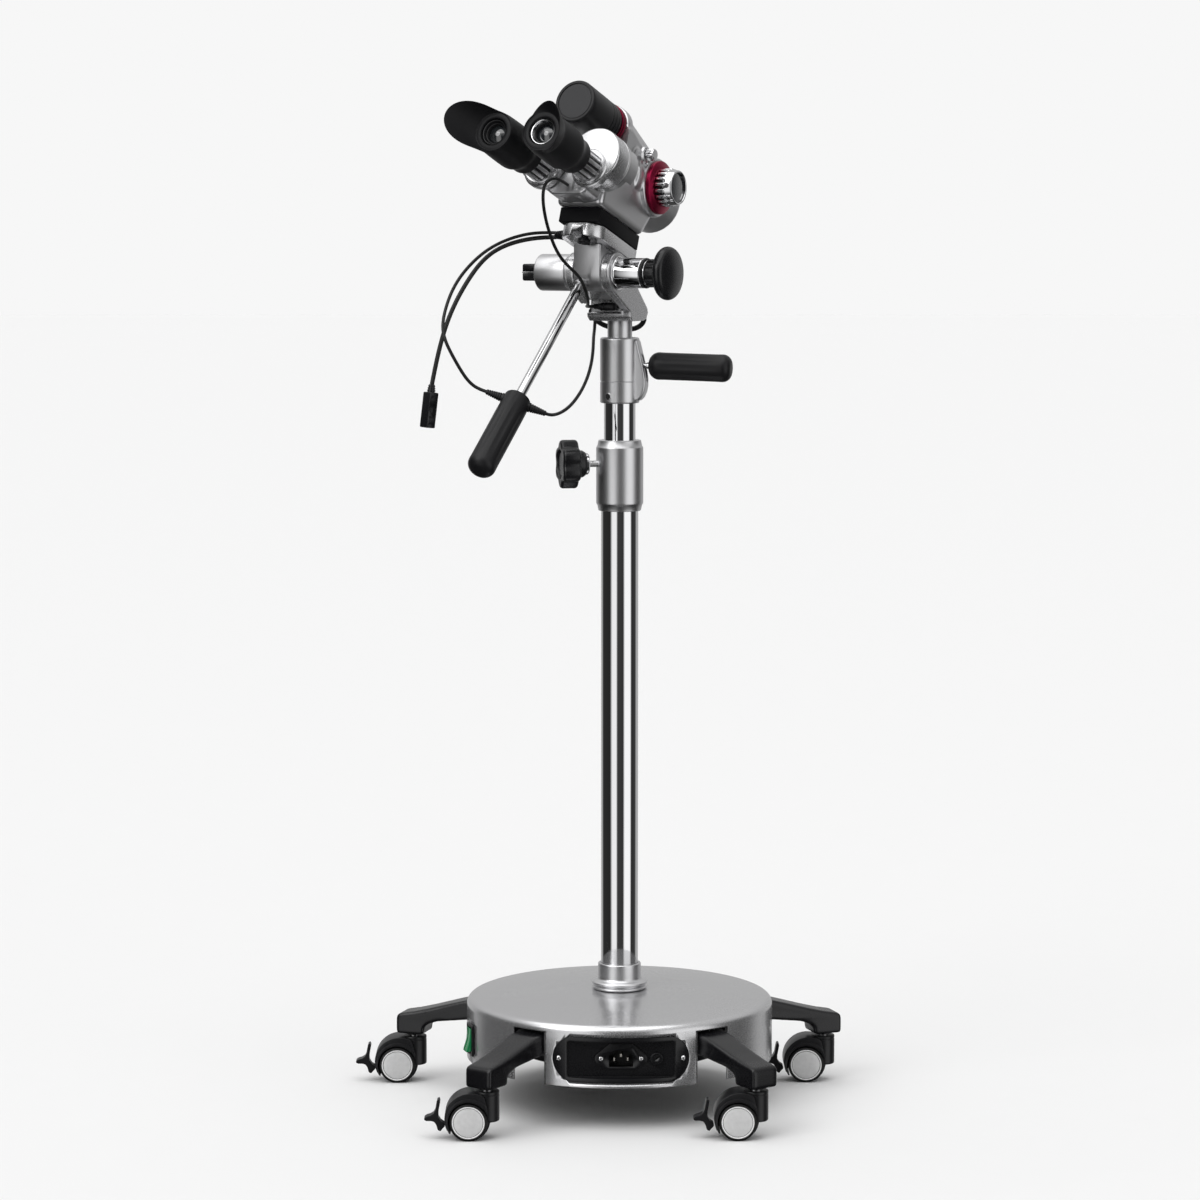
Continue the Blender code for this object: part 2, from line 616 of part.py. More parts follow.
def make_caster(index, parent):
    """Swivel housing, twin wheel and brake pedal, all trailing towards -X."""
    angle = math.radians(-90 + 360 / LEGS * (index + 0.5))
    tag = str(index + 1)
    place = (LEG_CIRCLE_R * math.cos(angle), LEG_CIRCLE_R * math.sin(angle), 0)
    swivel = new_empty("caster_swivel_" + tag, parent, location=place)
    wheel_axis = (-CASTER_TRAIL, 0, WHEEL_R * math.cos(math.pi / ROUND))
    hub = new_empty("caster_hub_" + tag, swivel, location=wheel_axis)
    well_r = WHEEL_R + WHEEL_CLEARANCE

    hood = [(HOOD_HALF_WIDTH * 0.2, HOUSING_TOP - WHEEL_R)]
    hood += [(x, z) for x, z in arc(0, 0, HOOD_R, 80, 118, 3)]
    hood += [(x, z) for x, z in arc(0, 0, HOOD_REAR_R, 150, 196, 3)]
    hood += [(x, z) for x, z in arc(0, 0, WHEEL_R * 0.6, 205, 330, 2)]
    hood += [(CASTER_TRAIL * 0.7, 2 * MM)]
    yoke = slab("caster_yoke_" + tag, hood, -HOOD_HALF_WIDTH, HOOD_HALF_WIDTH,
                MATERIALS["caster"], hub, rotation=FRONT_VIEW)
    housing = turned("caster_housing_" + tag,
                     rod_profile(HOUSING_R, WHEEL_R - MM, HOUSING_TOP), None, swivel, steps=SMALL)
    join(yoke, housing)
    for side in (-1, 1):
        well = turned(f"caster_well_{tag}_{side + 2}",
                      rod_profile(well_r, WHEEL_WEB_HALF, WHEEL_WEB_HALF + 30 * MM), None, hub,
                      rotation=ALONG_Y if side > 0 else ALONG_MINUS_Y, steps=SMALL)
        cut(yoke, well, 'MANIFOLD')
    bore = turned("caster_axle_bore_" + tag, rod_profile(AXLE_R + GAP, -9 * MM, 9 * MM), None, hub,
                  rotation=ALONG_Y, steps=TINY)
    cut(yoke, bore)
    stem = turned("caster_stem_" + tag,
                  [(0, STEM_PIN_TOP), (STEM_PIN_R, STEM_PIN_TOP), (STEM_PIN_R, ARM_END_BOTTOM - GAP),
                   (STEM_R, ARM_END_BOTTOM - GAP), (STEM_R, HOUSING_TOP - 2 * MM),
                   (0, HOUSING_TOP - 2 * MM)], None, swivel, steps=SMALL)
    join(yoke, stem)

    web = WHEEL_WEB_HALF + GAP
    outer = WHEEL_HALF_WIDTH
    edge = 2.5 * MM
    wheel = turned("caster_wheels_" + tag,
                   [(0, outer), (WHEEL_R - edge, outer), (WHEEL_R, outer - edge), (WHEEL_R, web),
                    (AXLE_R, web), (AXLE_R, -web), (WHEEL_R, -web),
                    (WHEEL_R, -outer + edge), (WHEEL_R - edge, -outer), (0, -outer)],
                   MATERIALS["caster"], hub, rotation=(ALONG_Y[0], math.pi / ROUND, 0))

    pedal_pivot = new_empty("pedal_pivot_" + tag, hub, location=(-HOOD_REAR_R - 1.7 * MM, 0, -5.5 * MM))
    pedal = [(0, -2.2 * MM), (2.1 * MM, 0), (1.2 * MM, 2.4 * MM), (-3 * MM, 5 * MM),
             (-5.5 * MM, 10 * MM), (-4.5 * MM, 17 * MM), (-3 * MM, 24 * MM), (-4.5 * MM, 27 * MM),
             (-6.5 * MM, 24 * MM), (-8 * MM, 16 * MM), (-10.5 * MM, 11 * MM), (-15.5 * MM, 9 * MM),
             (-18.5 * MM, 7.5 * MM), (-17.5 * MM, 5 * MM), (-12 * MM, 4.5 * MM), (-7 * MM, 3 * MM)]
    brake = slab("caster_brake_" + tag, list(reversed(pedal)), -PEDAL_HALF_WIDTH, PEDAL_HALF_WIDTH,
                 MATERIALS["caster"], pedal_pivot, rotation=FRONT_VIEW)
    return yoke, wheel, brake


# Column

def make_column(parent):
    seat = HUB_TOP - SOCKET_DEPTH + GAP
    turned("column_tube", ring_profile(TUBE_R - TUBE_WALL, TUBE_R, seat, TUBE_TOP, 0.5 * MM),
           MATERIALS["chrome"], parent, closed=True)

    bore = TUBE_R + GAP
    flange = FERRULE_FLANGE_R
    low = FERRULE_BOTTOM
    profile = [(bore, FERRULE_TOP), (bore + 0.6 * MM, FERRULE_TOP), (FERRULE_R, FERRULE_TOP - 3 * MM),
               (FERRULE_R, low + 11 * MM)]
    profile += [(x, z) for x, z in arc(FERRULE_R + 4 * MM, low + 11 * MM, 4 * MM, 195, 265, 2)]
    profile += [(flange - 0.8 * MM, low + 6.3 * MM), (flange, low + 5.5 * MM), (flange, low + 3.9 * MM),
                (flange - 1.2 * MM, low + 3.3 * MM), (flange - 1.2 * MM, low + 2.7 * MM),
                (flange, low + 2.1 * MM), (flange, low + 0.7 * MM), (flange - 0.7 * MM, low), (bore, low)]
    turned("column_ferrule", profile, MATERIALS["satin"], parent, closed=True)

    slide = SLIDER_R + GAP
    cham = COLLAR_CHAMFER
    tall = COLLAR_CHAMFER_HEIGHT
    profile = [(slide, COLLAR_TOP), (COLLAR_R - cham, COLLAR_TOP),
               (COLLAR_R - cham * 0.3, COLLAR_TOP - tall * 0.5), (COLLAR_R, COLLAR_TOP - tall),
               (COLLAR_R, COLLAR_BOTTOM + tall), (COLLAR_R - cham * 0.3, COLLAR_BOTTOM + tall * 0.5),
               (COLLAR_R - cham, COLLAR_BOTTOM), (bore, COLLAR_BOTTOM), (bore, TUBE_TOP + GAP),
               (slide, TUBE_TOP + GAP)]
    collar = turned("lower_collar", profile, MATERIALS["satin"], parent, closed=True)
    hole = turned("clamp_hole", rod_profile(CLAMP_STEM_R + GAP, SLIDER_R - 3 * MM, COLLAR_R + 3 * MM),
                  None, parent, location=(0, 0, CLAMP_Z),
                  rotation=(0, math.radians(90), CLAMP_TURN), steps=TINY)
    cut(collar, hole)


def make_clamp_knob(parent):
    """Star knob whose screw presses on the sliding tube."""
    frame = new_empty("clamp_axis", parent, location=(0, 0, CLAMP_Z), rotation=(0, 0, CLAMP_TURN))
    lobes = []
    count = 5
    for i in range(count * 6):
        angle = 2 * math.pi * i / (count * 6)
        radius = CLAMP_R - 2.6 * MM + 2.6 * MM * math.cos(count * angle)
        lobes.append((radius * math.cos(angle), radius * math.sin(angle)))
    knob = slab("clamp_knob", lobes, CLAMP_LOBES_START, CLAMP_LOBES_END, MATERIALS["black"], frame,
                rotation=ALONG_X)
    bevel(knob, 3 * MM, 1, 50)
    washer = CLAMP_HUB_START - 3 * MM
    core = turned("clamp_core",
                  [(0, CLAMP_LOBES_START + 4 * MM), (CLAMP_HUB_R, CLAMP_LOBES_START + 4 * MM),
                   (CLAMP_HUB_R, CLAMP_HUB_START + 3 * MM), (CLAMP_HUB_R - 2 * MM, CLAMP_HUB_START),
                   (CLAMP_WASHER_R, CLAMP_HUB_START), (CLAMP_WASHER_R - MM, washer),
                   (CLAMP_STEM_R, washer), (CLAMP_STEM_R, SLIDER_R + GAP), (0, SLIDER_R + GAP)],
                  None, frame, rotation=ALONG_X, steps=SMALL)
    join(knob, core)
    dish = turned("clamp_dish", rod_profile(CLAMP_R - 9 * MM, CLAMP_LOBES_END - 4 * MM,
                                            CLAMP_LOBES_END + 2 * MM), None, frame,
                  rotation=ALONG_X, steps=SMALL)
    cut(knob, dish)
    return knob


def make_slider(parent):
    """Sliding tube and the lock collar on its top, with the lever's cam lobe."""
    turned("slider_tube", ring_profile(SLIDER_R - SLIDER_WALL, SLIDER_R, SLIDER_BOTTOM,
                                       LOCK_STEP - GAP, 0.5 * MM),
           MATERIALS["chrome"], parent, closed=True)
    frame = new_empty("lock_frame", parent, rotation=(0, 0, LOCK_TURN))
    bore = SLIDER_R + GAP
    neck = NECK_R + GAP
    edge = 1.5 * MM
    seam = 0.5 * MM
    profile = [(neck, LOCK_TOP), (LOCK_R - edge, LOCK_TOP), (LOCK_R, LOCK_TOP - edge),
               (LOCK_R, LOCK_SEAM_Z + seam), (LOCK_R - seam, LOCK_SEAM_Z), (LOCK_R, LOCK_SEAM_Z - seam),
               (LOCK_R, LOCK_BOTTOM + edge), (LOCK_R - edge, LOCK_BOTTOM), (bore, LOCK_BOTTOM),
               (bore, LOCK_STEP), (neck, LOCK_STEP)]
    collar = turned("lock_collar", profile, MATERIALS["satin"], frame, closed=True)
    reach = LOCK_R + 8.3 * MM
    lobe = [(LOCK_R - 3 * MM, LOCK_BOTTOM + 2.5 * MM), (LOCK_R + 2 * MM, LOCK_BOTTOM + 3.5 * MM),
            (reach - 2.6 * MM, LOCK_BOTTOM + 9 * MM), (reach - 0.5 * MM, LOCK_BOTTOM + 15 * MM),
            (reach, SLOT_BOTTOM + 2 * MM), (reach - 0.7 * MM, SLOT_BOTTOM + 8 * MM),
            (LOCK_R + 3 * MM, SLOT_TOP + 2 * MM), (LOCK_R + 0.2 * MM, LOCK_TOP - 2 * MM),
            (LOCK_R - 3 * MM, LOCK_TOP - 2 * MM)]
    bulge = slab("lock_lobe", lobe, -LOBE_HALF_WIDTH, LOBE_HALF_WIDTH, None, frame, rotation=FRONT_VIEW)
    bevel(bulge, 2 * MM, 1, 70)
    join(collar, bulge)
    slot = block("lever_slot", (NECK_R - MM, -SLOT_HALF_WIDTH, SLOT_BOTTOM),
                 (reach + 5 * MM, SLOT_HALF_WIDTH, SLOT_TOP), None, frame)
    cut(collar, slot)

    pivot = new_empty("lever_pivot", frame, location=(LEVER_PIVOT_X, 0, LEVER_Z))
    start = NECK_R + 1.2 * MM - LEVER_PIVOT_X
    grip = LEVER_GRIP_START - LEVER_PIVOT_X
    end = LEVER_GRIP_END - LEVER_PIVOT_X
    big = LEVER_GRIP_R
    nose = 11 * MM
    tail = 9 * MM
    profile = [(0, end)]
    profile += [(x, z) for x, z in arc(big - tail, end - tail, tail, 90, 0, 5)]
    profile += [(x, z) for x, z in arc(big - nose, grip + nose, nose, 0, -90, 5)]
    profile += [(LEVER_STEM_R, grip), (LEVER_STEM_R, start), (0, start)]
    turned("lock_lever", profile, MATERIALS["black"], pivot,
           rotation=(0, math.radians(90) + LEVER_DROOP, 0))


# Head bracket and tilt joint

def make_bracket(parent):
    """Neck shaft, forked casting and what sits on the tilt axis outside it."""
    turned("neck_shaft", rod_profile(NECK_R, LOCK_STEP + 2 * MM, BRACKET_BOTTOM + NECK_SOCKET - GAP, MM),
           MATERIALS["chrome"], parent)

    bottom = BRACKET_BOTTOM
    back = 14 * MM
    front = -24 * MM
    centre = (-TILT_SETBACK, TILT_Z)
    foot = [(front + 5 * MM, bottom), (back - 8 * MM, bottom)]
    foot += [(back - 2 * MM, bottom + 2.5 * MM), (back + 0.5 * MM, bottom + 8 * MM),
             (back - 0.5 * MM, bottom + 12.5 * MM)]
    cheek = foot + arc(*centre, CHEEK_R, 45, 235, 12) + [(front, bottom + 10 * MM),
                                                        (front + MM, bottom + 4 * MM)]
    bracket = slab("fork_bracket", cheek, -CHEEK_OUT, CHEEK_OUT, MATERIALS["silver"], parent,
                   rotation=SIDE_VIEW)
    room = BLOCK_R + 1.2 * MM
    gap = [(front - 60 * MM, bottom - 5 * MM), (front - 9 * MM, bottom - 5 * MM),
           (front - 6 * MM, bottom + 14 * MM)]
    gap += arc(*centre, room, -48, -12, 4)
    gap += [(centre[0] + room + CORNER_ROOM, centre[1] + CORNER_SWEEP_TOP),
            (centre[0] + CHEEK_R * 2, centre[1] + CORNER_SWEEP_TOP),
            (centre[0] + CHEEK_R * 2, centre[1] + CHEEK_R * 1.5), (front - 60 * MM, centre[1] + CHEEK_R * 1.5)]
    slot = slab("fork_gap", gap, -CHEEK_IN, CHEEK_IN, None, parent, rotation=SIDE_VIEW)
    cut(bracket, slot)
    bevel(bracket, 1.2 * MM, 1, 40)
    axle = turned("fork_axle_bore", rod_profile(AXLE_CORE_R + GAP, -CHEEK_OUT - MM, CHEEK_OUT + MM),
                  None, parent, location=(0, *centre), rotation=ALONG_X)
    cut(bracket, axle)
    neck = turned("neck_socket", rod_profile(NECK_R + GAP, bottom - 2 * MM, bottom + NECK_SOCKET),
                  None, parent)
    cut(bracket, neck)
    channel = block("plug_channel", (-CHEEK_OUT - MM, front - 12 * MM, bottom + 8 * MM),
                    (CHEEK_IN - MM, front + 8 * MM, bottom + 21 * MM), None, parent)
    cut(bracket, channel, 'MANIFOLD')

    axis = new_empty("side_axis", parent, location=(0, *centre))
    gap_in = CHEEK_OUT + GAP
    tube = SIDE_TUBE_R
    end = SIDE_TUBE_END
    deep = 12 * MM
    screw = 4 * MM
    shaft = [(0, end - deep), (screw + GAP, end - deep), (screw + GAP, end), (tube - 1.5 * MM, end),
             (tube, end - 1.5 * MM), (tube, end - 3.2 * MM), (tube - MM, end - 3.6 * MM),
             (tube - MM, end - 4.6 * MM), (tube, end - 5 * MM), (tube, gap_in + 3 * MM),
             (tube + 2 * MM, gap_in + 2.5 * MM), (tube + 2 * MM, gap_in), (AXLE_CORE_R, gap_in),
             (AXLE_CORE_R, -CHEEK_OUT), (0, -CHEEK_OUT)]
    turned("tilt_shaft", shaft, MATERIALS["chrome"], axis, rotation=ALONG_X)
    turned("friction_barrel", rod_profile(BARREL_R, gap_in, BARREL_END, 1.2 * MM), MATERIALS["satin"],
           axis, rotation=ALONG_MINUS_X)
    size = TENSION_SIZE / 2
    tension = block("tension_end", (-TENSION_END, -size, -size), (-BARREL_END - GAP, size, size),
                    MATERIALS["black"], axis)
    bevel(tension, 1.8 * MM, 1)

    ribbed = end + GAP
    knob = [(0, KNOB_END), (KNOB_R * 0.45, KNOB_END - 0.8 * MM), (KNOB_R * 0.8, KNOB_END - 3.2 * MM),
            (KNOB_R - MM, KNOB_END - 6.5 * MM), (KNOB_R, KNOB_END - 9 * MM),
            (KNOB_R - MM, KNOB_DISC + MM), (KNOB_R - 3 * MM, KNOB_DISC), (KNOB_HUB_R, KNOB_DISC),
            (KNOB_HUB_R, ribbed + MM), (KNOB_HUB_R - MM, ribbed), (screw, ribbed),
            (screw, end - deep + MM), (0, end - deep + MM)]
    turned("tilt_knob", knob, MATERIALS["black"], axis, rotation=ALONG_X)

    plug = turned("bracket_plug", rod_profile(4.2 * MM, 0, 24 * MM, 1.2 * MM),
                  MATERIALS["black"], parent,
                  location=(-18 * MM, front + 3.4 * MM, bottom + 14.5 * MM), rotation=ALONG_X, steps=SMALL)
    return bracket, plug


def make_tilt_block(parent):
    """Block between the cheeks, with a top that follows the pitched plate."""
    slope = math.tan(TILT_REST)
    level = (PLATE_BOTTOM - GAP) / math.cos(TILT_REST)
    side = [(BLOCK_R, level - BLOCK_R * slope), (-BLOCK_R, level + BLOCK_R * slope)]
    side += arc(0, 0, BLOCK_R, 180, 360, 12)
    tilt_block = slab("tilt_block", side, -BLOCK_HALF_WIDTH, BLOCK_HALF_WIDTH, MATERIALS["silver"],
                      parent, rotation=SIDE_VIEW)
    bevel(tilt_block, MM, 1, 60)
    bore = turned("block_bore", rod_profile(AXLE_CORE_R + GAP, -20 * MM, 20 * MM), None, parent,
                  rotation=ALONG_X)
    cut(tilt_block, bore)
    return tilt_block


def make_handle(parent, tilt_block):
    """Chrome rod screwed into the block, and the grip with its two cable reliefs."""
    across = HANDLE_OFFSET
    origin = (-HANDLE_SIDE, -across * math.cos(HANDLE_ANGLE), across * math.sin(HANDLE_ANGLE))
    frame = new_empty("handle_frame", parent, location=origin,
                      rotation=(math.pi - HANDLE_ANGLE, 0, 0))
    turned("handle_rod", rod_profile(HANDLE_ROD_R, HANDLE_ROD_START, GRIP_START + 30 * MM, 0.5 * MM),
           MATERIALS["chrome"], frame)
    hole = turned("rod_socket", rod_profile(HANDLE_ROD_R + GAP, HANDLE_ROD_START - GAP, 30 * MM), None,
                  frame)
    cut(tilt_block, hole)
    inner = HANDLE_ROD_R + GAP
    big = GRIP_R
    round_end = 9 * MM
    profile = [(x, z) for x, z in arc(big - round_end, GRIP_END - round_end, round_end, 90, 0, 5)]
    profile = [(0, GRIP_END)] + profile
    profile += [(big, GRIP_START + 10 * MM), (big - 2.2 * MM, GRIP_START + MM), (big - 3.4 * MM, GRIP_START),
                (inner, GRIP_START), (inner, GRIP_START + 30 * MM + GAP), (0, GRIP_START + 30 * MM + GAP)]
    grip = turned("handle_grip", profile, MATERIALS["black"], frame)
    for side in (-1, 1):
        relief = turned(f"grip_relief_{side + 2}",
                        [(0, RELIEF_REACH), (2.6 * MM, RELIEF_REACH), (3 * MM, RELIEF_REACH - 6 * MM),
                         (4.6 * MM, 17 * MM), (5.5 * MM, 10 * MM), (0, 10 * MM)],
                        None, frame, location=(0, 0, GRIP_START + RELIEF_DROP),
                        rotation=(0, math.radians(90) * side, RELIEF_TURN), steps=TINY)
        join(grip, relief)
    return grip


# Optical head

def make_head_mount(parent):
    """Inclined plate, black spacer and the cable gland on the plate's left side."""
    half = PLATE_HALF_WIDTH
    nose = 15 * MM
    outline = [(half, PLATE_FRONT), (-half, PLATE_FRONT)]
    outline += arc(-half + nose, PLATE_BACK + nose, nose, 180, 270, 5)
    outline += arc(half - nose, PLATE_BACK + nose, nose, 270, 360, 5)
    plate = slab("head_plate", outline, PLATE_BOTTOM, PLATE_TOP, MATERIALS["silver"], parent)
    bevel(plate, 1.5 * MM, 1)
    spacer = block("spacer_block", (-half, PLATE_BACK, PLATE_TOP + GAP), (half, PLATE_FRONT, SPACER_TOP),
                   MATERIALS["matt_black"], parent)
    bevel(spacer, 0.8 * MM, 1)
    gland = turned("cable_gland",
                   [(0, GLAND_LENGTH), (2.9 * MM, GLAND_LENGTH), (GLAND_R - 0.6 * MM, 4 * MM),
                    (GLAND_R, 3 * MM), (GLAND_R, GAP), (0, GAP)], MATERIALS["black"], parent,
                   location=(-half, PLATE_BACK + nose + 4 * MM, GLAND_W), rotation=ALONG_MINUS_X,
                   steps=SMALL)
    return plate, spacer, gland


def make_body(parent):
    """Magnification changer casting with its objective barrel and port boss."""
    base = SPACER_TOP + GAP
    side = [(BODY_BACK, base), (PLATE_FRONT, base), (PLATE_FRONT + 13 * MM, base + 22 * MM),
            (PLATE_FRONT + 16 * MM, OPTIC_W + 20 * MM), (PORT_RING_FRONT + 10 * MM, PORT_W + 4 * MM),
            (PORT_RING_FRONT, PORT_W + 2 * MM), (BODY_BACK, OPTIC_W + 8 * MM)]
    body = slab("optics_body", side, -BODY_HALF_WIDTH, BODY_HALF_WIDTH, MATERIALS["silver"], parent,
                rotation=SIDE_VIEW)
    bevel(body, 7 * MM, 1, 30)
    barrel = turned("objective_barrel",
                    [(0, OBJECTIVE_END), (OBJECTIVE_R - 3 * MM, OBJECTIVE_END),
                     (OBJECTIVE_R, OBJECTIVE_END - 3 * MM), (OBJECTIVE_R, 0), (0, 0)], None, parent,
                    location=(0, 0, OPTIC_W), rotation=ALONG_Y)
    join(body, barrel)
    boss = turned("knob_boss", rod_profile(MAG_RING_R + 2 * MM, -MAG_BOSS_U, MAG_BOSS_U, 1.5 * MM), None,
                  parent, location=(0, MAG_V, OPTIC_W), rotation=ALONG_X)
    join(body, boss)
    shaft = turned("knob_shaft_bore", rod_profile(5 * MM + GAP, BODY_HALF_WIDTH + 0.6 * MM,
                                                  MAG_BOSS_U + 2 * MM),
                   None, parent, location=(0, MAG_V, OPTIC_W), rotation=ALONG_X, steps=SMALL)
    cut(body, shaft, 'MANIFOLD')
    neck = turned("port_boss", rod_profile(PORT_R + MM, -12 * MM, 74 * MM, 3 * MM), None, parent,
                  location=(0, PORT_RING_FRONT + 9 * MM, PORT_W - 1.5 * MM),
                  rotation=(ALONG_Y[0] - math.radians(14), 0, 0))
    join(body, neck)
    trim = block("port_trim", (-40 * MM, PORT_RING_FRONT - 40 * MM, PORT_W - PORT_R - MM),
                 (40 * MM, PORT_RING_FRONT + GAP, PORT_W + 40 * MM), None, parent)
    cut(body, trim)
    well = turned("lens_well", rod_profile(OBJECTIVE_R - 4.5 * MM, OBJECTIVE_END - 9 * MM,
                                           OBJECTIVE_END + 2 * MM), None, parent,
                  location=(0, 0, OPTIC_W), rotation=ALONG_Y)
    cut(body, well)
    turned("objective_lens", [(0, -1.2 * MM), (OBJECTIVE_R * 0.5, -1.8 * MM),
                              (OBJECTIVE_R - 4.5 * MM - GAP, -3.5 * MM),
                              (OBJECTIVE_R - 4.5 * MM - GAP, -9 * MM + GAP), (0, -9 * MM + GAP)],
           MATERIALS["glass"], parent, location=(0, OBJECTIVE_END, OPTIC_W), rotation=ALONG_Y)
    return body


def fluted(count, inner, outer):
    """Outline of a fluted knob, with flat-topped ribs."""
    points = []
    for i in range(count):
        for j, radius in enumerate((outer, outer, inner, inner)):
            angle = 2 * math.pi * (i + (0.05, 0.5, 0.62, 0.93)[j]) / count
            points.append((radius * math.cos(angle), radius * math.sin(angle)))
    return points


def make_controls(parent, body):
    """Magnification ring and knob, and the small filter knob above them."""
    axis = new_empty("mag_axis", parent, location=(0, MAG_V, OPTIC_W))
    bore = 5 * MM + GAP
    start = MAG_BOSS_U + GAP
    turned("mag_ring", [(bore, MAG_RING_END - MM), (MAG_KNOB_R, MAG_RING_END - MM),
                        (MAG_KNOB_R + MM, MAG_RING_END), (MAG_RING_R - 3.5 * MM, MAG_RING_END),
                        (MAG_RING_R, start + 2 * MM), (MAG_RING_R, start), (bore, start)],
           MATERIALS["crimson"], axis, rotation=ALONG_X, closed=True)
    low = MAG_RING_END + GAP
    knob = slab("mag_knob", fluted(MAG_FLUTES, MAG_KNOB_R - 1.6 * MM, MAG_KNOB_R), low, MAG_KNOB_END - 3 * MM,
                MATERIALS["chrome"], axis, rotation=ALONG_X)
    core = turned("mag_core",
                  [(0, MAG_KNOB_END), (MAG_KNOB_R - 4 * MM, MAG_KNOB_END - 0.6 * MM),
                   (MAG_KNOB_R - 2 * MM, MAG_KNOB_END - 2.4 * MM), (MAG_KNOB_R - 2 * MM, low + 2 * MM),
                   (5 * MM, low + 2 * MM), (5 * MM, BODY_HALF_WIDTH + MM), (0, BODY_HALF_WIDTH + MM)],
                  None, axis, rotation=ALONG_X)
    join(knob, core)

    small = new_empty("filter_axis", parent, location=(0, FILTER_V, FILTER_W))
    seat = BODY_HALF_WIDTH
    hole = turned("filter_bore", rod_profile(2.5 * MM + GAP, seat - 7 * MM, seat + 9 * MM), None, small,
                  rotation=ALONG_X, steps=TINY)
    pad = turned("filter_pad", rod_profile(7.5 * MM, seat - 6 * MM, seat + 2 * MM, 0.8 * MM), None, small,
                 rotation=ALONG_X, steps=SMALL)
    join(body, pad, 'MANIFOLD')
    cut(body, hole, 'MANIFOLD')
    turned("filter_knob",
           [(0, FILTER_END), (4.6 * MM, FILTER_END - 0.4 * MM), (6 * MM, FILTER_END - 2 * MM),
            (6 * MM, seat + 2 * MM + GAP), (2.5 * MM, seat + 2 * MM + GAP), (2.5 * MM, seat - 6 * MM),
            (0, seat - 6 * MM)], MATERIALS["chrome"], small, rotation=ALONG_X)


def make_camera_port(parent):
    """Black camera port with its crimson ring, on top of the casting."""
    frame = new_empty("port_axis", parent, location=(0, 0, PORT_W))
    turned("port_ring", rod_profile(PORT_R + 0.5 * MM, PORT_START + GAP, PORT_RING_FRONT, 0.6 * MM),
           MATERIALS["crimson"], frame, rotation=ALONG_Y)
    grooves = []
    for i in range(2):
        z = PORT_START - (6 + 7 * i) * MM
        grooves += [(PORT_R, z), (PORT_R - MM, z - MM), (PORT_R - MM, z - 2.4 * MM), (PORT_R, z - 3.4 * MM)]
    profile = [(0, PORT_START), (PORT_R - MM, PORT_START), (PORT_R, PORT_START - MM)] + grooves
    profile += [(PORT_R, PORT_END + 3 * MM), (PORT_R - 2.6 * MM, PORT_END), (PORT_R - 3.2 * MM, PORT_END),
                (PORT_R - 3.6 * MM, PORT_END + MM), (0, PORT_END + MM)]
    turned("camera_port", profile, MATERIALS["matt_black"], frame, rotation=ALONG_Y)


def make_binocular(parent):
    """Casting behind the two prism housings."""
    lobe = PRISM_R - 2 * MM
    back = BODY_BACK - GAP
    front = PRISM_BACK + GAP
    base = turned("binocular_base", rod_profile(lobe, front, back + 12 * MM, 1.5 * MM), MATERIALS["silver"],
                  parent, location=(-PRISM_U, 0, PRISM_W), rotation=ALONG_Y)
    other = turned("binocular_lobe", rod_profile(lobe, front, back + 12 * MM, 1.5 * MM), None, parent,
                   location=(PRISM_U, 0, PRISM_W), rotation=ALONG_Y)
    join(base, other)
    chin = [(-24 * MM, SPACER_TOP + 6 * MM), (-18 * MM, SPACER_TOP + 1.5 * MM),
            (18 * MM, SPACER_TOP + 1.5 * MM), (24 * MM, SPACER_TOP + 6 * MM),
            (28 * MM, PRISM_W - 20 * MM), (20 * MM, PRISM_W + 10 * MM), (-20 * MM, PRISM_W + 10 * MM),
            (-28 * MM, PRISM_W - 20 * MM)]
    lower = slab("binocular_chin", chin, -back, -PRISM_FACE - 8 * MM, None, parent,
                 rotation=FRONT_VIEW)
    bevel(lower, 3 * MM, 1, 30)
    join(base, lower)
    room = block("body_room", (-45 * MM, back, 40 * MM), (45 * MM, back + 40 * MM, 140 * MM), None, parent)
    cut(base, room)
    for side in (-1, 1):
        clear = turned(f"prism_room_{side + 2}", rod_profile(PRISM_R + 3 * GAP, PRISM_FACE - 9 * MM, front),
                       None, parent, location=(side * PRISM_U, 0, PRISM_W), rotation=ALONG_Y)
        cut(base, clear)
        swing = turned(f"tube_room_{side + 2}", rod_profile(PRISM_R + 8 * MM, PRISM_FACE - 9 * MM,
                                                           PRISM_FACE + 6 * MM),
                       None, parent, location=(side * PRISM_U, 0, PRISM_W), rotation=ALONG_Y)
        cut(base, swing)
    return base


